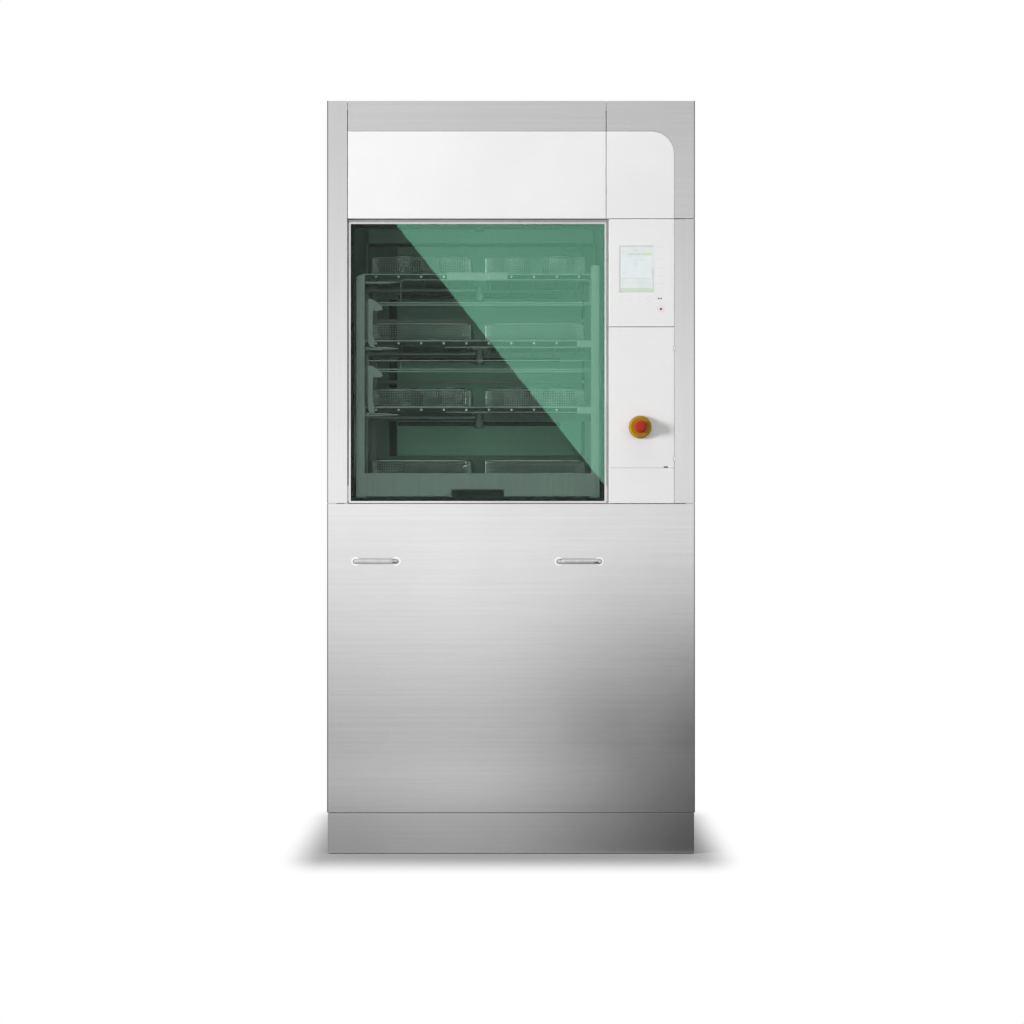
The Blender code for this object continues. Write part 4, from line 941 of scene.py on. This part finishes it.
def round_path(corners, radius, steps=4):
    """Points along a bent line whose inner corners are rounded."""
    corners = [Vector(corner) for corner in corners]
    points = [corners[0]]
    for before, corner, after in zip(corners, corners[1:], corners[2:]):
        start = corner + (before - corner).normalized() * radius
        end = corner + (after - corner).normalized() * radius
        for step in range(steps + 1):
            share = step / steps
            points.append(start.lerp(corner, share).lerp(corner.lerp(end, share), share))
    return points + [corners[-1]]


def to_rod(piece, radius):
    """Turn the bare edges of a piece into round rod."""
    select_only(piece)
    bpy.ops.object.convert(target="CURVE")
    curve = bpy.context.active_object
    curve.data.bevel_depth = radius
    curve.data.bevel_resolution = 1
    curve.data.use_fill_caps = True
    bpy.ops.object.convert(target="MESH")
    return bpy.context.active_object


def bend_rod(points, radius):
    """A rod drawn out from point to point."""
    rod = add_primitive(bpy.ops.mesh.primitive_plane_add, size=radius, location=points[0])
    edit_mode()
    bpy.ops.mesh.merge(type="CENTER")
    for before, after in zip(points, points[1:]):
        bpy.ops.mesh.extrude_vertices_move(TRANSFORM_OT_translate={"value": after - before})
    object_mode()
    rod = to_rod(rod, radius)
    bpy.ops.object.shade_smooth_by_angle(angle=rod_smoothing)
    return rod


def pixel_tile(x0, y0, x1, y1, y):
    """The outline of a rectangle between two pixels."""
    return pixel_outline(((x0, y1), (x1, y1), (x1, y0), (x0, y0)), y)


wires, wire_ends = [], []
wire_columns = [seen_at(px, picture_middle, cart_low.y).x for px in wire_pixels]
wire_places = [Vector((x, cart_low.y + wire_start, top - shelf_bar / 2))
               for top in shelf_tops for x in wire_columns]
for place in wire_places:
    wires.append(bend_rod([place, Vector((place.x, cart_high.y - wire_stop, place.z))], wire_radius))
settle(join_all(wires), "cart_shelf_wires", polished_finish)

# Near-white colour on the wire ends and the rear wall bead: a painted highlight.
bead_finish = make_finish("wire_end_steel", (0.88, 0.90, 0.89), (0.94, 0.96, 0.95), (0.3, 0.4), 0.0,
                          peel=500.0, bump=0.03, marks=60.0)
for place in wire_places:
    wire_ends.append(add_primitive(bpy.ops.mesh.primitive_uv_sphere_add, segments=wire_end_sides,
                                   ring_count=wire_end_rings, radius=wire_end_radius, location=place))
    edit_mode()
    bpy.ops.transform.resize(value=(1.0, wire_end_flatness, 1.0))
    object_mode()
    bpy.ops.object.shade_smooth()
settle(join_all(wire_ends), "cart_wire_ends", bead_finish)

pegs = []
for row in peg_rows:
    root, tip = (seen_at(px, row, cart_low.y + peg_depth) for px in peg_span)
    length = tip.x - root.x
    peg = spin_profile(((0.0, 0.0), (peg_radius, 0.0), (peg_radius, peg_straight * length),
                        (peg_tip_radius, length), (0.0, length)), peg_turns)
    peg.rotation_euler = (0.0, math.pi / 2, 0.0)
    peg.location = root
    bpy.ops.object.shade_smooth_by_angle(angle=spun_smoothing)
    pegs.append(peg)
settle(join_all(pegs), "cart_shelf_pegs", polished_finish)

rods = []
for path in rod_paths:
    spots = [seen_at(px, py, cart_low.y + rod_depth) for px, py in path]
    rods.append(bend_rod(round_path(spots, rod_corner), rod_radius))
settle(join_all(rods), "cart_wire_loops", cart_finish)

plate_y = cart_low.y + plate_depth
plates = []
for drop in bracket_drops:
    outline = pixel_outline([(px, py + drop) for px, py in bracket_pixels], plate_y)
    plates.append(cut_plate(outline, plate_y, plate_thickness, bracket_edge))
for tile in plate_pixels:
    plates.append(cut_plate(pixel_tile(*tile, plate_y), plate_y, plate_thickness, plate_edge))
settle(join_all(plates), "cart_brackets", cart_finish)

# Hubs of the turning arms
# A ground stainless sleeve with chamfered rims is pressed on the hub of each arm. Over each of
# the cart's arms, a fixed head holds the arm's pin on the feed pipe.
sleeve_gap = 0.0002
sleeve_wall = 0.0012
sleeve_turns = 32
hub_radius = 0.014
head_radius = 0.0118
head_gap = 0.0006
head_height = 0.0168
inner, outer, chamfer = hub_radius + sleeve_gap, hub_radius + sleeve_gap + sleeve_wall, sleeve_wall / 2
heads = []
for arm in (*("cart_spray_arm_" + shelf for shelf in upper_shelves), "bottom_spray_arm", "top_spray_arm"):
    low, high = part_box(arm)
    centre = (low + high) / 2
    height = high.z - low.z
    sleeve = spin_profile(((inner, 0.0), (inner, height), (outer - chamfer, height),
                           (outer, height - chamfer), (outer, chamfer), (outer - chamfer, 0.0),
                           (inner, 0.0)), sleeve_turns)
    bpy.ops.object.shade_smooth_by_angle(angle=fold_angle)
    sleeve.location = (centre.x, centre.y, low.z)
    settle(sleeve, arm + "_sleeve", cart_finish, arm)
    if arm.startswith("cart"):
        head = spin_profile(((0.0, 0.0), (head_radius - chamfer, 0.0), (head_radius, chamfer),
                             (head_radius, head_height - chamfer), (head_radius - chamfer, head_height),
                             (0.0, head_height)), sleeve_turns)
        bpy.ops.object.shade_smooth_by_angle(angle=fold_angle)
        head.location = (centre.x, centre.y, high.z + head_gap)
        heads.append(head)
settle(join_all(heads), "cart_arm_heads", cart_finish)

# Rear wall of the chamber
# The rear wall is welded in with a rounded bead, coloured near white as a painted highlight. A
# folded air duct with a probe bracket runs across it under the roof, and a flat cover closes the
# return duct below. Near-black strips under the duct and beside the cover are painted shade.
rear_wall = 0.3222
bead_radius = 0.0018
bead_corner = 0.013
bead_start = -0.08
bead_gap = 0.0002
chamber_left, chamber_right = -0.392, 0.228
chamber_foot, chamber_top = 0.860, 1.600
duct_reach = 0.028
duct_edge = 0.002
duct_pixels = (369.0, 244.6, 593.0, 230.4)
cover_thickness = 0.004
cover_edge = 0.0015
cover_pixels = (397.5, 456.0, 581.6, 247.5)
seal_thickness = 0.002
trim_edge = 0.0008
seal_pixels = ((389.5, 456.0, 397.0, 300.0), (369.0, 247.0, 593.0, 244.7), (582.0, 456.0, 586.0, 300.0))
probe_pixels = (560.0, 250.2, 580.0, 247.2)
wall_finish = make_finish("duct_steel", (0.60, 0.61, 0.605), (0.67, 0.68, 0.675), (0.5, 0.62), 0.2,
                          grain=grain_across, bump=0.05, marks=3.0)
duct_finish = make_finish("air_duct_steel", (0.74, 0.72, 0.73), (0.82, 0.80, 0.81), (0.3, 0.4), 0.4,
                          grain=grain_across, bump=0.04, marks=3.0)
# Near-black strips under the duct and beside the cover: painted shade.
strip_finish = make_finish("wall_seal_rubber", (0.014, 0.02, 0.018), (0.03, 0.04, 0.036), (0.5, 0.65),
                           peel=700.0, marks=18.0, bump=0.2)


def pixel_block(pixels, read_at, near, far, edge):
    """A block between two pixels, read at one depth, that reaches from near to far."""
    x0, y0, x1, y1 = pixels
    low, high = seen_at(x0, y0, read_at), seen_at(x1, y1, read_at)
    low.y, high.y = near, far
    return add_block(low, high, edge)


left, right = chamber_left + bead_radius, chamber_right - bead_radius
foot, top = chamber_foot + bead_radius, chamber_top - bead_radius
ring = [Vector((x, rear_wall - bead_radius, z)) for x, z in (
    (bead_start, foot), (left, foot), (left, top), (right, top), (right, foot),
    (bead_start - bead_gap, foot))]
settle(bend_rod(round_path(ring, bead_corner), bead_radius), "rear_wall_bead", bead_finish)
duct = pixel_block(duct_pixels, rear_wall, rear_wall - duct_reach, rear_wall, duct_edge)
settle(duct, "rear_air_duct", duct_finish)
seals = [pixel_block(pixels, rear_wall, rear_wall - seal_thickness, rear_wall, trim_edge)
         for pixels in seal_pixels]
settle(join_all(seals), "rear_wall_seals", strip_finish)
cover = pixel_block(cover_pixels, rear_wall, rear_wall - cover_thickness, rear_wall, cover_edge)
settle(cover, "return_duct_cover", wall_finish)
probe_front = rear_wall - duct_reach
bracket = pixel_block(probe_pixels, probe_front, probe_front, rear_wall - cover_thickness, trim_edge)
settle(bracket, "temperature_probe_bracket", polished_finish)

# Wire baskets
# Instrument baskets of woven stainless wire with a round rim rod, two on each shelf. One is
# woven, and the others are copies of it.
mesh_pitch = 0.006
wall_rows = 7
wire_diameter = 0.0014
rim_radius = 0.0019
basket_corner = 0.022
basket_floor_turn = 0.003
basket_finish = make_finish("basket_wire", (0.74, 0.75, 0.745), (0.86, 0.87, 0.865), (0.34, 0.44), 1.0,
                            peel=500.0, bump=0.05, marks=20.0)


def weave_basket(low, high):
    """A basket of square mesh between two corners, with its rim."""
    size = high - low
    counts = [round(size[axis] / mesh_pitch) for axis in (0, 1)]
    middle = (low + high) / 2
    middle.z = low.z + wire_diameter / 2
    basket = add_primitive(bpy.ops.mesh.primitive_grid_add, x_subdivisions=counts[0],
                           y_subdivisions=counts[1], size=1, location=middle)
    edit_mode()
    bpy.ops.transform.resize(value=(size.x - 2 * rim_radius, size.y - 2 * rim_radius, 1.0))
    mesh = bmesh.from_edit_mesh(basket.data)
    for edge in mesh.edges:
        edge.select_set(edge.is_boundary)
    mesh.select_flush(False)
    wall_step = (size.z - wire_diameter / 2 - rim_radius) / wall_rows
    for row in range(wall_rows):
        bpy.ops.mesh.extrude_edges_move(TRANSFORM_OT_translate={"value": (0.0, 0.0, wall_step)})
    mesh = bmesh.from_edit_mesh(basket.data)
    half = Vector((size.x / 2 - rim_radius, size.y / 2 - rim_radius))
    for vertex in mesh.verts:
        beyond = Vector((abs(vertex.co.x), abs(vertex.co.y))) - half + Vector((basket_corner, basket_corner))
        on_wall = max(abs(vertex.co.x) - half.x, abs(vertex.co.y) - half.y) > -weld_distance
        if min(beyond) > 0:
            wanted = max(beyond)
            for axis in (0, 1):
                kept = half[axis] - basket_corner + beyond[axis] * wanted / beyond.length
                vertex.co[axis] = math.copysign(kept, vertex.co[axis])
        if on_wall and vertex.co.z < wall_step / 2:
            vertex.co.xy *= 1.0 - basket_floor_turn / half.length
            vertex.co.z += basket_floor_turn / 2
    for face in mesh.faces:
        face.select_set(False)
    for edge in mesh.edges:
        edge.select_set(edge.is_boundary)
    bmesh.update_edit_mesh(basket.data)
    bpy.ops.mesh.duplicate()
    bpy.ops.mesh.separate(type="SELECTED")
    object_mode()
    rim = next(piece for piece in bpy.context.selected_objects if piece is not basket)
    rim = to_rod(rim, rim_radius)
    apply_modifier(basket, "WIREFRAME", thickness=wire_diameter, use_replace=True, use_even_offset=True)
    select_only(basket)
    rim.select_set(True)
    bpy.ops.object.join()
    return basket


def copy_to(piece, place, turn=0.0):
    """A copy with its own mesh, turned about the upright axis and set down at a place."""
    twin = bpy.data.objects.new(piece.name, piece.data.copy())
    scene.collection.objects.link(twin)
    twin.data.transform(Matrix.Translation(place) @ Matrix.Rotation(turn, 4, "Z"))
    return twin


first_basket = None
for node in (f"basket_{shelf}_{side}" for shelf in ("base", *upper_shelves) for side in ("left", "right")):
    low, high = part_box(node)
    if first_basket is None:
        first_low = low
        wire_basket = first_basket = weave_basket(low, high)
    else:
        wire_basket = copy_to(first_basket, low - first_low)
    settle(wire_basket, node + "_wire", basket_finish)
    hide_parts(node)

# Load
# Pressed steel bowls stand in the top and the third baskets, shallow trays in the second, and
# clamps lie in the lowest beside one bowl. All of it is plain polished stainless.
load_seat = 0.0024
bowl_wall = 0.0009
bowl_profile = ((0.0, 0.0), (0.020, 0.0), (0.0265, 0.004), (0.0325, 0.020), (0.036, 0.046), (0.0385, 0.0475))
bowl_sides = 28
bowl_rows = 4
bowl_pitch = 0.105
bowl_shift = 0.006
bowl_turn = 0.7
tray_size = (0.200, 0.090, 0.026)
tray_wall = 0.0010
tray_flare = 1.10
tray_rim = (1.03, 1.06, 1.0)
tray_corner = tray_size[1] / 5
tray_corner_steps = 4
tray_foot = tray_size[2] / 6
clamp_length = 0.150
clamp_rod = 0.0021
clamp_bend = 0.012
clamp_ring = 0.0115
clamp_ring_sides = 16
clamp_ring_aside = 0.35 * clamp_ring
clamp_spread = ((0.0, 0.0012), (0.35, 0.0022), (0.8, 0.012), (0.9, 0.0135))
# Places from the middle of a basket, with the turn of each piece. The bowls follow in rows.
bowl_starts = {"left": ((-0.048, -0.190), (0.072, -0.186)), "right": ((-0.052, -0.188), (0.059, -0.190))}
bowl_spots = {side: [(x + bowl_shift * (row % 2), y + bowl_pitch * row, bowl_turn * row)
                     for x, y in starts for row in range(bowl_rows)] for side, starts in bowl_starts.items()}
tray_spots = {"left": ((0.0, -0.172, 0.02), (0.01, -0.06, -0.03), (-0.01, 0.07, 0.02)),
              "right": ((0.0, -0.170, -0.02), (0.0, -0.055, 0.02), (0.01, 0.08, 0.0))}
clamp_spots = {
    "left": ((-0.105, -0.19, 0.08), (-0.10, -0.13, -0.1), (-0.09, -0.02, 0.15), (-0.1, 0.1, -0.05)),
    "right": ((-0.10, -0.18, -0.06), (-0.09, -0.11, 0.12), (-0.1, 0.0, -0.1), (-0.09, 0.12, 0.05)),
}
lone_bowl_aside = -0.085
lone_bowl_inward = 0.20
load_finish = make_finish("load_steel", (0.66, 0.67, 0.665), (0.78, 0.79, 0.785), (0.12, 0.22), 1.0,
                          peel=260.0, bump=0.04, marks=22.0)

bowl = spin_profile(bowl_profile, bowl_sides)
apply_modifier(bowl, "SOLIDIFY", thickness=bowl_wall, offset=-1.0)
bpy.ops.object.shade_smooth_by_angle(angle=spun_smoothing)

tray = add_primitive(bpy.ops.mesh.primitive_plane_add, size=1)
edit_mode()
bpy.ops.transform.resize(value=(tray_size[0] / tray_flare, tray_size[1] / tray_flare, 1.0))
bpy.ops.mesh.bevel(offset=tray_corner, segments=tray_corner_steps, affect="VERTICES")
bpy.ops.mesh.select_all(action="SELECT")
bpy.ops.mesh.inset(thickness=tray_foot)
mesh = bmesh.from_edit_mesh(tray.data)
for edge in mesh.edges:
    edge.select_set(edge.is_boundary)
mesh.select_flush(False)
for rise, flare in ((tray_size[2], (tray_flare, tray_flare, 1.0)), (0.0, tray_rim)):
    bpy.ops.mesh.extrude_edges_move(TRANSFORM_OT_translate={"value": (0.0, 0.0, rise)})
    bpy.ops.transform.resize(value=flare)
bpy.ops.mesh.select_all(action="SELECT")
bpy.ops.mesh.normals_make_consistent(inside=False)
object_mode()
apply_modifier(tray, "SOLIDIFY", thickness=tray_wall, offset=-1.0)
bpy.ops.object.shade_smooth_by_angle(angle=fold_angle)

clamp_parts = []
end_share, end_gap = clamp_spread[-1]
for side in (-1, 1):
    path = [(clamp_length * share, side * gap, 0.0) for share, gap in clamp_spread]
    clamp_parts.append(bend_rod(round_path(path, clamp_bend), clamp_rod))
    centre = Vector((clamp_length * end_share + clamp_ring, side * (end_gap + clamp_ring_aside), 0.0))
    angles = [2 * math.pi * step / clamp_ring_sides for step in range(clamp_ring_sides + 1)]
    ring = [centre + Vector((math.cos(angle), math.sin(angle), 0.0)) * clamp_ring for angle in angles]
    clamp_parts.append(bend_rod(ring, clamp_rod))
clamp = join_all(clamp_parts)

load = []


def fill_baskets(shelf, pattern, spots, lift=load_seat):
    """Set copies of a piece down in the two baskets of a shelf."""
    for side in ("left", "right"):
        low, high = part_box(f"basket_{shelf}_{side}")
        centre = (low + high) / 2
        for x, y, turn in spots[side]:
            load.append(copy_to(pattern, (centre.x + x, centre.y + y, low.z + lift), turn))


fill_baskets("upper", bowl, bowl_spots)
fill_baskets("lower", bowl, bowl_spots)
fill_baskets("middle", tray, tray_spots)
fill_baskets("base", clamp, clamp_spots, load_seat + clamp_rod)
low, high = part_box("basket_base_left")
lone_place = ((low.x + high.x) / 2 + lone_bowl_aside, low.y + lone_bowl_inward, low.z + load_seat)
load.append(copy_to(bowl, lone_place))
for pattern in (bowl, tray, clamp):
    bpy.data.objects.remove(pattern)
settle(join_all(load), "instrument_load", load_finish)

# Screen, status lamp and emergency stop
# A glass-fronted screen and a small red lamp in the control panel, with the lamp's pale pink
# glow painted on a disc round it. The emergency stop is a red mushroom cap on a dark stem, in a
# yellow collar on the service door.
print_thickness = 0.00008
print_edge = print_thickness / 3
halo_radius = 0.0092
halo_thickness = 0.0001
halo_turns = 28
key_columns = (622.0, 631.0, 640.5, 649.0)
screen_marks = (
    ("screen_frame", (0.82, 0.82, 0.82), (0.85, 0.85, 0.85), 0,
     ((618.6, 242.6, 655.6, 245.0), (653.9, 245.1, 655.6, 293.4))),
    ("screen_field", (0.74, 0.80, 0.785), (0.78, 0.84, 0.825), 0, ((619.2, 245.2, 653.7, 292.4),)),
    ("screen_pale_field", (0.77, 0.835, 0.84), (0.81, 0.865, 0.87), 1, ((621.0, 256.5, 652.2, 277.6),)),
    ("screen_grey_lines", (0.62, 0.65, 0.64), (0.66, 0.69, 0.68), 2,
     ((619.4, 245.4, 653.5, 247.0), (633.6, 249.6, 637.0, 250.6), (628.0, 253.6, 641.0, 254.6),
      (619.3, 247.0, 620.6, 292.2), (619.3, 291.3, 653.6, 292.3), (652.6, 270.0, 653.6, 291.3))),
    ("screen_faint_lines", (0.68, 0.745, 0.735), (0.71, 0.775, 0.765), 2,
     ((634.2, 259.5, 637.2, 260.4), (640.5, 259.5, 643.5, 260.4), (634.8, 262.5, 636.6, 265.5),
      (621.0, 277.8, 652.2, 278.5), (621.0, 282.8, 652.2, 283.3), (622.5, 252.0, 624.5, 253.0),
      (622.5, 273.0, 625.0, 274.2), (651.6, 267.0, 652.4, 276.0))),
    ("screen_highlight", (0.66, 0.70, 0.50), (0.70, 0.74, 0.54), 2, ((642.5, 252.9, 651.5, 255.2),)),
    ("screen_status_band", (0.60, 0.70, 0.57), (0.64, 0.74, 0.61), 2, ((620.6, 288.0, 652.6, 291.3),)),
    ("key_outlines", (0.76, 0.76, 0.76), (0.78, 0.78, 0.78), 0,
     (*((656.4, y, 663.6, y + 0.5) for y in (246.6, 258.8, 267.6, 275.6, 283.4)),
      *((x - 1.0, y, x + 1.0, y + 0.5) for x in key_columns for y in (295.8, 301.2)),
      *((x - 1.6, 297.0, x - 1.2, 300.2) for x in key_columns))),
    ("key_symbols", (0.10, 0.10, 0.11), (0.14, 0.14, 0.15), 0,
     ((657.8, 297.8, 659.4, 299.2), (660.2, 297.8, 661.8, 299.2))),
)
screen_finish = make_finish("screen_glass", (0.62, 0.78, 0.76), (0.70, 0.85, 0.82), (0.15, 0.25),
                            peel=400.0, bump=0.03, marks=12.0)
coat("touch_display", screen_finish)
for name, dark, light, layer, tiles in screen_marks:
    front = panel_low.y - print_thickness * (layer + 1)
    shapes = [cut_plate(pixel_tile(*tile, panel_low.y), front, print_thickness * (layer + 2), print_edge)
              for tile in tiles]
    finish = make_finish(name, dark, light, (0.16, 0.24), peel=400.0, bump=0.02, marks=30.0)
    settle(join_all(shapes), name, finish)

lamp_finish = make_finish("lamp_red", (0.16, 0.035, 0.04), (0.24, 0.05, 0.055), (0.2, 0.3), peel=400.0,
                          marks=60.0, Emission_Color=(1.0, 0.06, 0.08, 1.0), Emission_Strength=0.03)
coat("status_lamp", lamp_finish)
# The pale pink disc round the lamp is its glow, painted.
halo_finish = make_finish("halo_pink", (0.82, 0.72, 0.745), (0.85, 0.76, 0.78), (0.3, 0.4), peel=400.0,
                          marks=40.0)
lamp_low, lamp_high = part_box("status_lamp")
lamp_centre = (lamp_low + lamp_high) / 2
halo = spin_profile(((0.0, 0.0), (halo_radius, 0.0), (halo_radius, halo_thickness), (0.0, halo_thickness)),
                    halo_turns)
halo.rotation_euler = (math.pi / 2, 0.0, 0.0)
halo.location = (lamp_centre.x, panel_low.y, lamp_centre.z)
settle(halo, "status_lamp_halo", halo_finish)

collar_finish = make_finish("collar_yellow", (0.345, 0.178, 0.006), (0.42, 0.222, 0.009), (0.3, 0.42),
                            peel=500.0, marks=40.0, bump=0.15, rub=(0.52, 0.31, 0.03),
                            Specular_IOR_Level=0.15)
cap_finish = make_finish("cap_red", (0.35, 0.026, 0.012), (0.43, 0.034, 0.016), (0.25, 0.36),
                         peel=500.0, marks=40.0, bump=0.15, rub=(0.62, 0.16, 0.08),
                         Specular_IOR_Level=0.2)
stem_finish = make_finish("dark_moulding", (0.03, 0.03, 0.032), (0.055, 0.055, 0.058), (0.4, 0.55),
                          peel=450.0, marks=30.0, bump=0.25, rub=(0.16, 0.16, 0.16))
coat("estop_collar", collar_finish)
coat("estop_cap", cap_finish)
coat("estop_stem", stem_finish)
coat("estop_contact_block", stem_finish)
